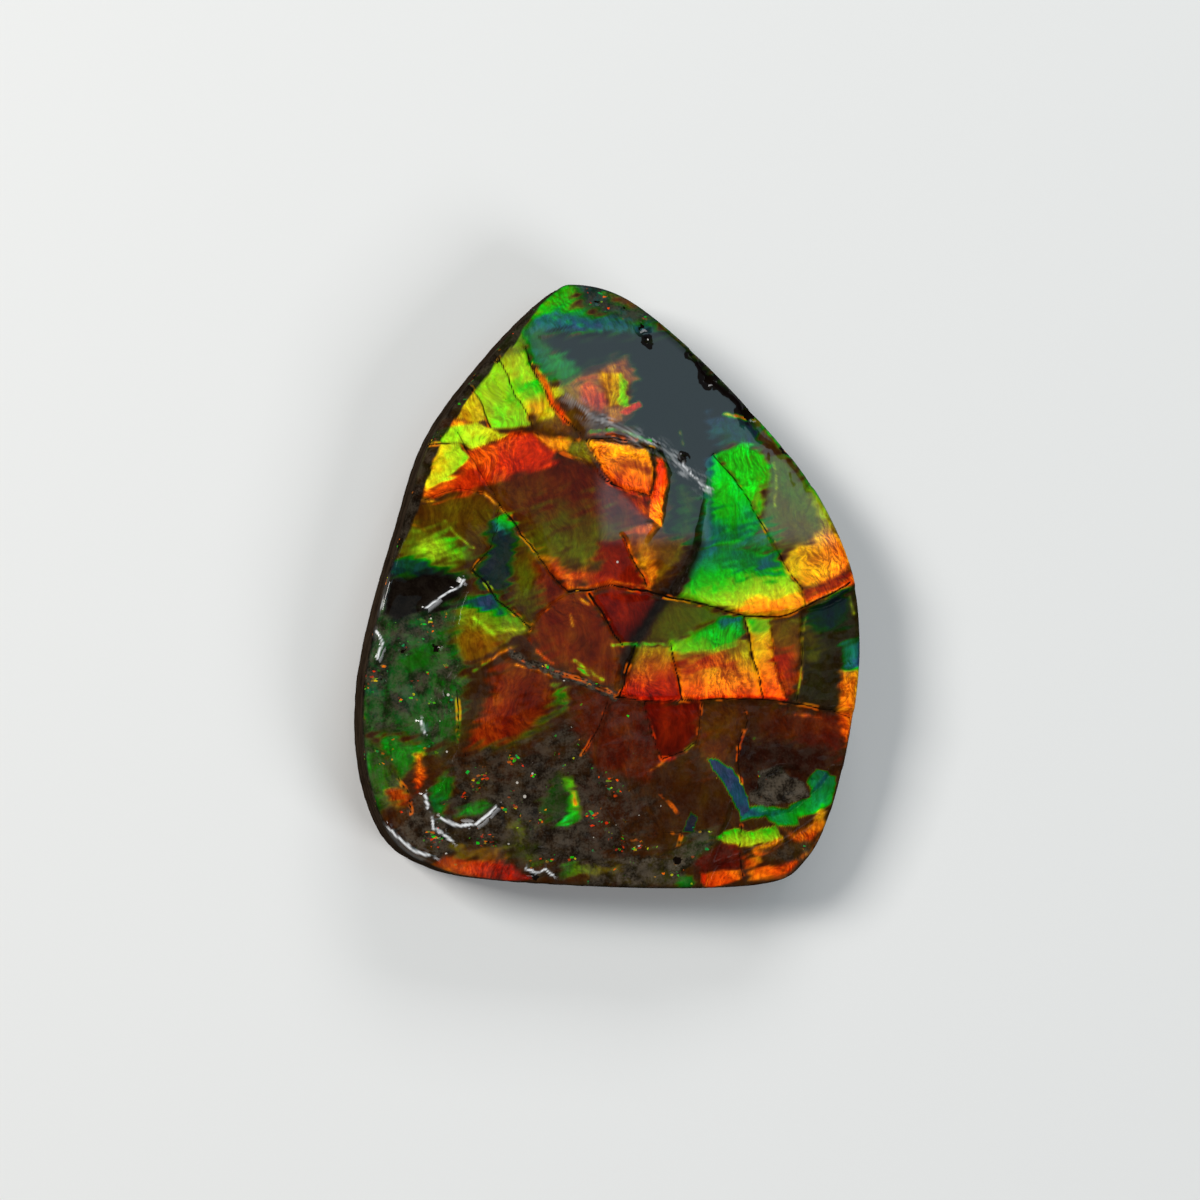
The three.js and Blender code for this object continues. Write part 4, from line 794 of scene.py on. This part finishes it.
def ringAt(co, ring, inset):
    out = co[ring, :2] - rim["middle"]
    angles = np.arctan2(out[:, 1], out[:, 0])
    reach = rimReach(angles) - inset
    return rim["middle"] + reach[:, None] * np.column_stack((np.cos(angles), np.sin(angles)))


def settle(obj, angle):
    # millimetres in the face's own frame become metres in the part's frame
    co = coordinates(obj)
    co[:, :2] += centring
    setCoordinates(obj, co * mm)
    selectNothing()
    obj.select_set(True)
    bpy.context.view_layer.objects.active = obj
    bpy.ops.object.shade_smooth_by_angle(angle=math.radians(angle))


def storeValue(obj, name, values):
    attribute = obj.data.attributes.new(name, "FLOAT", "POINT")
    attribute.data.foreach_set("value", np.asarray(values, np.float32))


def makeShell():
    obj = addGrid("nacreFace", shell["columns"], shell["rows"])
    co = coordinates(obj)
    co[:, :2] = spreadPlaces(co[:, :2], shell["edgeInset"])
    setCoordinates(obj, co)
    level = np.ones(len(co))  # 1 on the face, 0 at the foot of the edge
    for inset, share in shell["edgeRings"]:
        ring = extrudeRim(obj)
        co = coordinates(obj)
        co[ring, :2] = ringAt(co, ring, inset)
        setCoordinates(obj, co)
        level = np.append(level, np.full(len(co) - len(level), share))
    closeRim(obj)
    places = co[:, :2]
    marks = marksOf(places)
    order, glow, crust = paintColours(marks)
    away, groove = crackShape(marks)
    scratchesAndPaintedHighlights = paintScratchesAndHighlights(marks)
    crease = shell["crease"]
    rough = (np.clip(crust * 1.6, 0, 1) + 0.05) * (1 - lipShare(marks, 1.5))
    lumps = noiseAt(places, 1.5, 31.0) + 0.5 * noiseAt(places, 0.6, 32.0)
    height = faceHeight(places) + plateLift(marks) - groove + shell["roughness"] * rough * lumps
    height += ridge(marks, crease["line"], crease["rise"], crease["halfWidth"])
    for line, rise, halfWidth in shell["lips"]:
        height += ridge(marks, line, rise, halfWidth)
    height = np.maximum(height, shell["base"] + 0.3)
    co[:, 2] = shell["base"] + level * (height - shell["base"])
    setCoordinates(obj, co)
    wall = np.maximum(np.clip((0.9 - level) / 0.3, 0, 1), paintMargin(places))
    storeValue(obj, "order", order)
    storeValue(obj, "glow", glow * (1 - 0.85 * wall))
    storeValue(obj, "crust", crust + (0.3 - crust) * wall)
    storeValue(obj, "crackAway", away)
    # pale scratches with a painted highlight among them along the crease, and painted highlights on the lips
    storeValue(obj, "scratchesAndPaintedHighlights", scratchesAndPaintedHighlights * (1 - wall))
    storeValue(obj, "polish", paintPolish(places, marks, away) * (1 - 0.9 * wall) * (1 - 0.7 * scratchesAndPaintedHighlights))
    settle(obj, 50)
    print("shell of", len(obj.data.polygons), "faces")
    return obj


# the bed of shale under the shell, with flakes off the edge of its back
shale = {
    "columns": 120,
    "rows": 140,
    "top": 6.34,
    "footInset": 0.9,
    "wallRings": [(0.55, 0.3), (0.32, 0.65), (0.18, 1.05), (0.08, 1.6), (0.02, 2.2), (0.02, 2.8), (0.02, 3.4),
                  (0.02, 4.0), (0.02, 4.6), (0.02, 5.2), (0.02, 5.8), (0.04, 6.34)],
    # angle round the rim, width, reach and depth of each flake
    "flakes": [(0.35, 15, 4.4, 1.5), (1.15, 9, 3.0, 1.0), (1.95, 17, 5.4, 1.8), (3.3, 13, 3.6, 1.2),
               (4.35, 18, 4.8, 1.7), (5.4, 12, 3.8, 1.4)],
    "grain": 0.05,
}


def flakeHeights(points):
    # the height under which the flakes have taken the shale away
    cut = np.zeros(len(points))
    ragged = wobble(points, 2.2, 0.5, 51.0)
    for angle, width, reach, depth in shale["flakes"]:
        way = np.array((math.cos(angle), math.sin(angle)))
        centre = rim["middle"] + rimReach(np.array([angle])) * way
        inward = (ragged - centre) @ way / reach
        sideways = (ragged - centre) @ np.array((-way[1], way[0])) / (width / 2)
        far = np.hypot(inward, sideways)
        scoop = depth * np.sqrt(np.clip(1 - far**2, 0, 1))
        ripple = 0.05 * np.sin(far * 26) * np.clip((1 - far) * 4, 0, 1)
        cut = np.maximum(cut, np.where(far < 1, scoop + ripple, 0))
    return cut


def makeShale():
    obj = addGrid("shaleBed", shale["columns"], shale["rows"])
    co = coordinates(obj)
    co[:, :2] = spreadPlaces(co[:, :2], shale["footInset"])
    sawn = shale["grain"] * 0.25 * (1 + noiseAt(co[:, :2], 0.9, 61.0))
    inner = np.hypot(co[:, 0], co[:, 1]) < 2
    co[:, 2] = np.where(inner, 0, sawn)
    cut = flakeHeights(co[:, :2])
    chipped = cut > 0.02
    co[:, 2] = np.maximum(co[:, 2], cut)
    co[:, 2] += chipped * shale["grain"] * (1 + noiseAt(co[:, :2], 0.8, 62.0))
    setCoordinates(obj, co)
    for inset, height in shale["wallRings"]:
        ring = extrudeRim(obj)
        co = coordinates(obj)
        place = ringAt(co, ring, inset)
        if height < shale["top"]:
            bumps = 0.05 * (1 + noiseAt(place + height * 3, 0.9, 70.0 + height))
            place = place - (place - rim["middle"]) / 26 * bumps[:, None]
        co[ring, :2] = place
        left = flakeHeights(place)
        co[ring, 2] = np.maximum(height, left + (height / shale["top"]) * 0.2 * (left > 0))
        setCoordinates(obj, co)
    closeRim(obj)
    settle(obj, 40)
    print("shale of", len(obj.data.polygons), "faces")
    return obj


# small helpers for node trees
def addNode(tree, kind, **settings):
    node = tree.nodes.new(kind)
    for name, value in settings.items():
        setattr(node, name, value)
    return node


def feed(tree, socket, value):
    if isinstance(value, bpy.types.NodeSocket):
        tree.links.new(value, socket)
    else:
        socket.default_value = value


def calculate(tree, operation, first, second=0.0, clamp=False):
    node = addNode(tree, "ShaderNodeMath", operation=operation, use_clamp=clamp)
    feed(tree, node.inputs[0], first)
    feed(tree, node.inputs[1], second)
    return node.outputs[0]


def times(tree, first, second, clamp=False):
    return calculate(tree, "MULTIPLY", first, second, clamp)


def plus(tree, first, second):
    return calculate(tree, "ADD", first, second)


def remap(tree, value, fromLow, fromHigh, toLow=0.0, toHigh=1.0):
    node = addNode(tree, "ShaderNodeMapRange", interpolation_type="SMOOTHSTEP")
    for name, given in (("Value", value), ("From Min", fromLow), ("From Max", fromHigh),
                        ("To Min", toLow), ("To Max", toHigh)):
        feed(tree, node.inputs[name], given)
    return node.outputs["Result"]


def addShare(tree, share, factor):
    # 1 where share is 0, factor where it is 1
    extra = calculate(tree, "SUBTRACT", factor, 1.0)
    return plus(tree, 1.0, times(tree, share, extra))


def mixColours(tree, blend, share, first, second):
    node = addNode(tree, "ShaderNodeMix", data_type="RGBA", blend_type=blend, clamp_result=False)
    feed(tree, node.inputs[0], share)
    feed(tree, node.inputs[6], first)
    feed(tree, node.inputs[7], second)
    return node.outputs[2]


def attribute(tree, name):
    return addNode(tree, "ShaderNodeAttribute", attribute_name=name, attribute_type="GEOMETRY").outputs["Fac"]


def noiseValue(tree, vector, scale, detail=3.0, roughness=0.55, distortion=0.0):
    node = addNode(tree, "ShaderNodeTexNoise")
    feed(tree, node.inputs["Vector"], vector)
    feed(tree, node.inputs["Scale"], scale)
    node.inputs["Detail"].default_value = detail
    node.inputs["Roughness"].default_value = roughness
    node.inputs["Distortion"].default_value = distortion
    return node.outputs["Fac"]


def stretched(tree, vector, turn, scale):
    node = addNode(tree, "ShaderNodeMapping")
    feed(tree, node.inputs["Vector"], vector)
    node.inputs["Rotation"].default_value = (0, 0, math.radians(turn))
    node.inputs["Scale"].default_value = scale
    return node.outputs["Vector"]


def stretchedNoise(tree, place, turn, stretch, **values):
    return noiseValue(tree, stretched(tree, place, turn, stretch), **values)


def newGroup(name, inputs, output):
    tree = bpy.data.node_groups.new(name, "ShaderNodeTree")
    for label, kind in inputs:
        tree.interface.new_socket(name=label, in_out="INPUT", socket_type=kind)
    tree.interface.new_socket(name=output, in_out="OUTPUT", socket_type="NodeSocketFloat")
    return tree, tree.nodes.new("NodeGroupInput").outputs, tree.nodes.new("NodeGroupOutput").inputs


grainMix = {
    "coarse": {"detail": 4.0},
    "fine": {"detail": 3.0, "roughness": 0.7},
    "finer": 5.0,  # times the coarse scale
    "coarseShare": 0.6,
    "fineShare": 0.4,
}


def makeGrainGroup():
    # fine and coarse grain together, about 0 to 1
    tree, given, result = newGroup(
        "mineralGrain", [("Vector", "NodeSocketVector"), ("Scale", "NodeSocketFloat")], "Grain")
    coarse = noiseValue(tree, given["Vector"], given["Scale"], **grainMix["coarse"])
    fineScale = times(tree, given["Scale"], grainMix["finer"])
    fine = noiseValue(tree, given["Vector"], fineScale, **grainMix["fine"])
    feed(tree, result["Grain"], plus(tree, times(tree, coarse, grainMix["coarseShare"]),
                                     times(tree, fine, grainMix["fineShare"])))
    return tree


largestSpeck = 0.22  # of a cell's width


def makeSpeckGroup():
    # scattered dots: Amount is the share of cells that hold one
    tree, given, result = newGroup(
        "paleSpecks",
        [("Vector", "NodeSocketVector"), ("Scale", "NodeSocketFloat"), ("Amount", "NodeSocketFloat")],
        "Specks")
    cells = addNode(tree, "ShaderNodeTexVoronoi", feature="F1")
    feed(tree, cells.inputs["Vector"], given["Vector"])
    feed(tree, cells.inputs["Scale"], given["Scale"])
    split = addNode(tree, "ShaderNodeSeparateColor")
    feed(tree, split.inputs[0], cells.outputs["Color"])
    chosen = calculate(tree, "LESS_THAN", split.outputs[0], given["Amount"])
    size = times(tree, split.outputs[1], largestSpeck)
    dot = calculate(tree, "LESS_THAN", cells.outputs["Distance"], size)
    feed(tree, result["Specks"], times(tree, chosen, dot))
    return tree


grainGroup = makeGrainGroup()
speckGroup = makeSpeckGroup()


def useGroup(tree, group, **values):
    node = addNode(tree, "ShaderNodeGroup", node_tree=group)
    for name, value in values.items():
        feed(tree, node.inputs[name], value)
    return node.outputs[0]


def newMaterial(name):
    material = bpy.data.materials.new(name)
    material.use_nodes = True
    tree = material.node_tree
    shader = tree.nodes["Principled BSDF"]
    place = addNode(tree, "ShaderNodeTexCoord").outputs["Object"]
    return material, tree, shader, place


fineRelief = {"strength": 0.5, "depth": 0.00015}


def addBump(tree, shader, height):
    bump = addNode(tree, "ShaderNodeBump")
    bump.inputs["Strength"].default_value = fineRelief["strength"]
    bump.inputs["Distance"].default_value = fineRelief["depth"]
    feed(tree, bump.inputs["Height"], height)
    feed(tree, shader.inputs["Normal"], bump.outputs[0])


def spectralRamp(tree, value, stops):
    node = addNode(tree, "ShaderNodeValToRGB")
    ramp = node.color_ramp
    while len(ramp.elements) < len(stops):
        ramp.elements.new(0.5)
    for element, (at, colour) in zip(ramp.elements, stops):
        element.position = at
        element.color = (*colour, 1)
    feed(tree, node.inputs[0], value)
    return node.outputs[0]


nacre = {
    "spectrum": [
        (0.0, (0.3, 0.003, 0.0005)), (0.08, (0.58, 0.008, 0.0006)), (0.17, (0.85, 0.035, 0.001)),
        (0.25, (0.98, 0.11, 0.002)), (0.33, (1.0, 0.25, 0.004)), (0.41, (0.92, 0.42, 0.004)),
        (0.48, (0.78, 0.62, 0.006)), (0.55, (0.54, 0.76, 0.012)), (0.62, (0.24, 0.7, 0.006)),
        (0.68, (0.03, 0.6, 0.003)), (0.75, (0.002, 0.64, 0.008)), (0.83, (0.004, 0.36, 0.07)),
        (0.9, (0.012, 0.2, 0.17)), (0.95, (0.015, 0.085, 0.15)), (1.0, (0.04, 0.07, 0.16)),
    ],
    "undertone": (0.004, 0.002, 0.001),
    "crustDark": (0.012, 0.009, 0.006),
    "crustPale": (0.085, 0.066, 0.046),
    "crack": (0.005, 0.003, 0.002),
    # the white of the scratches and of the painted highlights
    "scratchAndHighlight": (0.9, 0.91, 0.92),
    "speck": (0.6, 0.55, 0.48),
    "power": 2.1,
    "metallic": 0.12,
    "roughness": 0.4,
    "coatRoughness": 0.06,
    # its noises, in cells to the metre
    "bend": {"scale": 130, "amount": 0.006},
    "drift": {"scale": 380, "detail": 3.0},
    "patches": {"scale": 160, "detail": 2.0},
    "mottle": {"scale": 480, "detail": 5.0, "roughness": 0.65},
    "lipBreaks": {"scale": 620, "detail": 2.0},
    "fine": {"turn": 25, "stretch": (1.0, 0.65, 1.0), "scale": 2300, "detail": 4.0, "roughness": 0.6,
             "distortion": 0.2},
    "coarse": {"turn": -40, "stretch": (1.0, 0.5, 1.0), "scale": 800, "detail": 3.0, "roughness": 0.55,
               "distortion": 0.25},
    "folds": {"turn": -12, "stretch": (1.0, 0.55, 1.0), "scale": 760, "detail": 5.0, "roughness": 0.56,
              "distortion": 0.3},
    "foldShift": (0.00011, 0.00016, 0.0),
    "grainScale": 900.0,
    "speckScale": 1300.0,
    "fleckScale": 3300,
    "fleckStretch": (1.0, 1.6, 1.0),
    "fleckTurn": 20,
    # ranges: from low, from high, and what they become, which is 0 to 1 where it isn't given
    "crumpleByGlow": (0.3, 0.85, 0.4, 1.0),
    "crumpleByPatch": (0.38, 0.62, 0.35, 1.15),
    "hueByDrift": (0.3, 0.7, -0.035, 0.035),
    "hueByFolds": (0.3, 0.7, -0.025, 0.025),
    "hueByFoldLight": 0.35,
    "hueByTurn": 0.14,
    "turnBlend": 0.35,
    "flickerByGrain": (0.32, 0.68, 0.8, 1.2),
    "flickerByFolds": (0.3, 0.7, 0.8, 1.2),
    "flickerByFoldLight": (-0.09, 0.09, 0.5, 1.5),
    "flickerByDrift": (0.3, 0.68, 0.84, 1.14),
    "roughCorner": (0.1, 0.5),
    "mottleRange": (0.42, 0.6, 0.2, 1.9),
    "crustTones": (0.38, 0.62),
    "crustPatches": (0.3, 0.6, 0.4, 1.25),
    "crustRoughness": 0.62,
    # a lip begins and ends so many millimetres from its crack
    "lipBegins": (0.04, 0.1),
    "lipEnds": (0.34, 0.12),
    "lipByBreaks": (0.52, 0.66),
    "lipByGlow": (0.8, 0.45),
    "lipHueShare": 0.5,
    "lipHueShift": 0.12,
    "lipStrength": 0.6,
    # painted shade in the valleys of the wrinkles
    "wrinkleShadeWidth": (0.012, 0.0),
    "wrinkleShadeByDrift": (0.48, 0.6),
    "wrinkleShadeStrength": 0.3,
    "creaseDepth": 0.8,
    "grainHeight": 0.4,
    "crackWidth": (0.1, 0.0),
    "fleckByDrift": (0.5, 0.62, 0.0, 0.22),
    "fleckByFolds": (0.46, 0.56),
    "fleckStrength": (0.0, 1.0, 0.1, 0.9),
    "fleckHues": (0.0, 1.0, 0.15, 0.85),
    "specksAndGlitterInCrust": 0.09,
    "specksElsewhere": 0.003,
    "speckStrength": 0.8,
}


def bentPlace(tree, place, scale, amount):
    # the place pushed aside by slow noise, so that the folds of the foil change their way
    warp = addNode(tree, "ShaderNodeTexNoise")
    feed(tree, warp.inputs["Vector"], place)
    warp.inputs["Scale"].default_value = scale
    small = addNode(tree, "ShaderNodeVectorMath", operation="SCALE")
    feed(tree, small.inputs[0], warp.outputs["Color"])
    small.inputs["Scale"].default_value = amount
    bent = addNode(tree, "ShaderNodeVectorMath", operation="ADD")
    feed(tree, bent.inputs[0], place)
    feed(tree, bent.inputs[1], small.outputs[0])
    return bent.outputs[0]


def makeNacre():
    material, tree, shader, place = newMaterial("ammoliteNacre")
    order, glow = attribute(tree, "order"), attribute(tree, "glow")
    crust, away = attribute(tree, "crust"), attribute(tree, "crackAway")
    scratchesAndPaintedHighlights = attribute(tree, "scratchesAndPaintedHighlights")
    drift = noiseValue(tree, place, **nacre["drift"])
    bent = bentPlace(tree, place, **nacre["bend"])
    fine = stretchedNoise(tree, bent, **nacre["fine"])
    coarse = stretchedNoise(tree, bent, **nacre["coarse"])
    # painted light and shade on the crumpled foil: one noise less the same noise moved aside makes one flank
    # of each fold lighter and the other darker
    moved = addNode(tree, "ShaderNodeMapping")
    feed(tree, moved.inputs["Vector"], bent)
    moved.inputs["Location"].default_value = nacre["foldShift"]
    folds = stretchedNoise(tree, bent, **nacre["folds"])
    foldLightAndShade = calculate(tree, "SUBTRACT", stretchedNoise(tree, moved.outputs[0], **nacre["folds"]), folds)
    # bright panes are crumpled, dim ones smoother
    patches = noiseValue(tree, place, **nacre["patches"])
    crumple = times(tree, remap(tree, glow, *nacre["crumpleByGlow"]),
                    remap(tree, patches, *nacre["crumpleByPatch"]))
    foldLightAndShade = times(tree, foldLightAndShade, crumple)
    facing = addNode(tree, "ShaderNodeLayerWeight")
    facing.inputs["Blend"].default_value = nacre["turnBlend"]
    # the hue wanders inside a pane and moves towards green as the face turns away
    hue = plus(tree, order, remap(tree, drift, *nacre["hueByDrift"]))
    hue = plus(tree, hue, remap(tree, coarse, *nacre["hueByFolds"]))
    hue = plus(tree, hue, times(tree, foldLightAndShade, nacre["hueByFoldLight"]))
    hue = plus(tree, hue, times(tree, facing.outputs["Facing"], nacre["hueByTurn"]))
    fire = spectralRamp(tree, hue, nacre["spectrum"])
    # glow flickers over the folds and flakes of the nacre, with painted light and shade on the flanks of the
    # folds
    flicker = times(tree, remap(tree, fine, *nacre["flickerByGrain"]),
                    remap(tree, coarse, *nacre["flickerByFolds"]))
    flicker = times(tree, flicker, remap(tree, foldLightAndShade, *nacre["flickerByFoldLight"]))
    flicker = times(tree, flicker, remap(tree, drift, *nacre["flickerByDrift"]))
    # the rough corner is mottled
    crusty = remap(tree, crust, *nacre["roughCorner"])
    mottle = remap(tree, noiseValue(tree, bent, **nacre["mottle"]), *nacre["mottleRange"])
    flicker = times(tree, flicker, addShare(tree, crusty, mottle))
    bright = times(tree, calculate(tree, "POWER", glow, nacre["power"]), flicker)
    body = mixColours(tree, "MULTIPLY", 1.0, fire, bright)
    body = mixColours(tree, "ADD", 1.0, body, (*nacre["undertone"], 1))
    # dull crust
    grain = useGroup(tree, grainGroup, Vector=place, Scale=nacre["grainScale"])
    crustColour = mixColours(tree, "MIX", remap(tree, grain, *nacre["crustTones"]), (*nacre["crustDark"], 1),
                             (*nacre["crustPale"], 1))
    patchy = times(tree, crust, remap(tree, grain, *nacre["crustPatches"]), clamp=True)
    body = mixColours(tree, "MIX", patchy, body, crustColour)
    # a broken bright lip beside the cracks
    lip = times(tree, remap(tree, away, *nacre["lipBegins"]), remap(tree, away, *nacre["lipEnds"]))
    breaks = noiseValue(tree, place, **nacre["lipBreaks"])
    lip = times(tree, lip, remap(tree, breaks, *nacre["lipByBreaks"]))
    lip = times(tree, lip, remap(tree, glow, *nacre["lipByGlow"]))
    lipHue = plus(tree, times(tree, hue, nacre["lipHueShare"]), nacre["lipHueShift"])
    body = mixColours(tree, "MIX", times(tree, lip, nacre["lipStrength"]), body,
                      spectralRamp(tree, lipHue, nacre["spectrum"]))
    # painted shade in the valleys of the wrinkles, and the dark cracks themselves
    valleys = calculate(tree, "ABSOLUTE", calculate(tree, "SUBTRACT", coarse, 0.5))
    wrinkleShade = times(tree, remap(tree, valleys, *nacre["wrinkleShadeWidth"]),
                    remap(tree, drift, *nacre["wrinkleShadeByDrift"]))
    wrinkleShade = times(tree, wrinkleShade, times(tree, crumple, nacre["wrinkleShadeStrength"]))
    dark = calculate(tree, "MAXIMUM", wrinkleShade, remap(tree, away, *nacre["crackWidth"]))
    body = mixColours(tree, "MIX", dark, body, (*nacre["crack"], 1))
    # coloured flecks and pale dots, thickest in the crust, where the pale dots are partly mineral specks and
    # partly painted highlights of glitter
    flecks = addNode(tree, "ShaderNodeTexVoronoi", feature="F1")
    feed(tree, flecks.inputs["Vector"], stretched(tree, place, nacre["fleckTurn"], nacre["fleckStretch"]))
    flecks.inputs["Scale"].default_value = nacre["fleckScale"]
    split = addNode(tree, "ShaderNodeSeparateColor")
    feed(tree, split.inputs[0], flecks.outputs["Color"])
    thick = times(tree, crusty, remap(tree, drift, *nacre["fleckByDrift"]))
    chosen = calculate(tree, "LESS_THAN", split.outputs[0], thick)
    chosen = times(tree, chosen, remap(tree, coarse, *nacre["fleckByFolds"]))
    chosen = times(tree, chosen, remap(tree, split.outputs[2], *nacre["fleckStrength"]))
    fleckHue = remap(tree, split.outputs[1], *nacre["fleckHues"])
    body = mixColours(tree, "MIX", chosen, body, spectralRamp(tree, fleckHue, nacre["spectrum"]))
    amount = plus(tree, times(tree, crusty, nacre["specksAndGlitterInCrust"]), nacre["specksElsewhere"])
    specks = useGroup(tree, speckGroup, Vector=place, Scale=nacre["speckScale"], Amount=amount)
    body = mixColours(tree, "MIX", times(tree, specks, nacre["speckStrength"]), body, (*nacre["speck"], 1))
    # pale scratches along the crease, partly painted highlight, and painted highlights on the lips
    body = mixColours(tree, "MIX", scratchesAndPaintedHighlights, body, (*nacre["scratchAndHighlight"], 1))
    feed(tree, shader.inputs["Base Color"], body)
    feed(tree, shader.inputs["Metallic"],
         times(tree, times(tree, glow, nacre["metallic"]),
               calculate(tree, "SUBTRACT", 1.0, patchy), clamp=True))
    feed(tree, shader.inputs["Roughness"],
         remap(tree, patchy, 0.0, 1.0, nacre["roughness"], nacre["crustRoughness"]))
    shader.inputs["Specular IOR Level"].default_value = 0.0
    feed(tree, shader.inputs["Coat Weight"], attribute(tree, "polish"))
    shader.inputs["Coat Roughness"].default_value = nacre["coatRoughness"]
    relief = plus(tree, times(tree, folds, crumple), times(tree, fine, nacre["grainHeight"]))
    relief = calculate(tree, "SUBTRACT", relief, times(tree, dark, nacre["creaseDepth"]))
    addBump(tree, shader, relief)
    return material


rock = {
    "dark": (0.009, 0.0055, 0.0035),
    "pale": (0.036, 0.024, 0.015),
    "speck": (0.3, 0.24, 0.18),
    # thin dark and pale beds
    "beds": {"turn": 0, "stretch": (0.12, 0.12, 5.0), "scale": 420, "detail": 4.0, "roughness": 0.6,
             "distortion": 0.3},
    "grainScale": 700.0,
    "speckScale": 900.0,
    "speckAmount": 0.04,
    "speckStrength": 0.6,
    "bedShare": 0.55,
    "grainShare": 0.45,
    "tones": (0.36, 0.64),
    "roughness": (0.3, 0.7, 0.7, 0.95),
}


def makeRock():
    material, tree, shader, place = newMaterial("darkShale")
    beds = stretchedNoise(tree, place, **rock["beds"])
    grain = useGroup(tree, grainGroup, Vector=place, Scale=rock["grainScale"])
    share = plus(tree, times(tree, beds, rock["bedShare"]), times(tree, grain, rock["grainShare"]))
    colour = mixColours(tree, "MIX", remap(tree, share, *rock["tones"]),
                        (*rock["dark"], 1), (*rock["pale"], 1))
    specks = useGroup(tree, speckGroup, Vector=place, Scale=rock["speckScale"], Amount=rock["speckAmount"])
    colour = mixColours(tree, "MIX", times(tree, specks, rock["speckStrength"]), colour, (*rock["speck"], 1))
    feed(tree, shader.inputs["Base Color"], colour)
    feed(tree, shader.inputs["Roughness"], remap(tree, grain, *rock["roughness"]))
    shader.inputs["Specular IOR Level"].default_value = 0.0
    addBump(tree, shader, share)
    return material


paper = {
    "size": 6,  # metres
    "dark": (0.8, 0.8, 0.79),
    "pale": (0.84, 0.84, 0.83),
    "toneScale": 3,
    "roughness": 0.9,
}


def makeFloor():
    selectNothing()
    bpy.ops.mesh.primitive_plane_add(size=paper["size"])
    floor = bpy.context.object
    floor.name = "paleFloor"
    material, tree, shader, place = newMaterial("palePaper")
    tone = noiseValue(tree, place, paper["toneScale"], 2.0)
    feed(tree, shader.inputs["Base Color"],
         mixColours(tree, "MIX", tone, (*paper["dark"], 1), (*paper["pale"], 1)))
    shader.inputs["Roughness"].default_value = paper["roughness"]
    floor.data.materials.append(material)
    return floor


# the camera looks down on the piece, turned a little so that its left wall shows
camera = {
    "towardsLeft": 12.5,  # degrees
    "towardsFoot": 3.0,
    "distance": 600.0,
    "aim": (-1.78, -1.4, 8.5),
    "frameWidth": 118.0,
    "sensor": 36.0,
}


def facePoint(x, y, z):
    return Vector((x + centring[0], y + centring[1], z)) * mm


def makeCamera():
    left, foot = math.radians(camera["towardsLeft"]), math.radians(camera["towardsFoot"])
    away = Vector((-math.tan(left), -math.tan(foot), 1)).normalized()
    aim = facePoint(*camera["aim"])
    data = bpy.data.cameras.new("studioCamera")
    data.sensor_width = camera["sensor"]
    data.lens = camera["sensor"] * camera["distance"] / camera["frameWidth"]
    data.clip_start, data.clip_end = 0.01, 20
    obj = bpy.data.objects.new("studioCamera", data)
    bpy.context.scene.collection.objects.link(obj)
    right = Vector((0, 1, 0)).cross(away).normalized()
    up = away.cross(right)
    turn = Matrix((right, up, away)).transposed().to_4x4()
    obj.matrix_world = Matrix.Translation(aim + away * camera["distance"] * mm) @ turn
    bpy.context.scene.camera = obj
    return obj


# soft studio lights, in millimetres and watts. The veil's lamp hangs level; the others look at the piece.
lights = {
    "veil": {"place": (160, 120, 508), "turn": 14, "size": (260, 205), "watts": 0.242,
            "colour": (0.6, 0.88, 1.0)},
    "keyLeft": {"place": (-620, 260, 560), "size": (300, 300), "watts": 6.1,
               "colour": (1.0, 0.98, 0.95)},
    "keyRight": {"place": (560, -480, 560), "size": (420, 420), "watts": 3.0,
                "colour": (0.97, 0.98, 1.0)},
    "back": {"place": (120, 760, 420), "size": (500, 260), "watts": 2.6,
            "colour": (1.0, 1.0, 1.0)},
}


def makeLight(name, values):
    data = bpy.data.lights.new(name, "AREA")
    data.shape = "RECTANGLE"
    data.size, data.size_y = values["size"][0] * mm, values["size"][1] * mm
    data.energy = values["watts"]
    data.color = values["colour"]
    obj = bpy.data.objects.new(name, data)
    bpy.context.scene.collection.objects.link(obj)
    place = Vector(values["place"]) * mm
    if name == "veil":
        obj.matrix_world = Matrix.Translation(place) @ Matrix.Rotation(math.radians(values["turn"]), 4, "Z")
    else:
        look = (Vector((0, 0, 0.008)) - place).to_track_quat("-Z", "Y")
        obj.matrix_world = Matrix.Translation(place) @ look.to_matrix().to_4x4()
    return obj


room = {"colour": (0.9, 0.95, 1.0), "strength": 0.09}

makeCamera()
print("camera placed")

face = makeShell()
face.data.materials.append(makeNacre())
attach(face, "root")
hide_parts("ammolite_shell")

bed = makeShale()
bed.data.materials.append(makeRock())
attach(bed, "root")
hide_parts("shale_matrix")
print("pieces dressed")

makeFloor()
for name, values in lights.items():
    makeLight(name, values)
world = bpy.data.worlds.new("studioWorld")
world.use_nodes = True
world.node_tree.nodes["Background"].inputs["Color"].default_value = (*room["colour"], 1)
world.node_tree.nodes["Background"].inputs["Strength"].default_value = room["strength"]
bpy.context.scene.world = world
bpy.context.scene.view_settings.view_transform = "Standard"
print("stage lit")
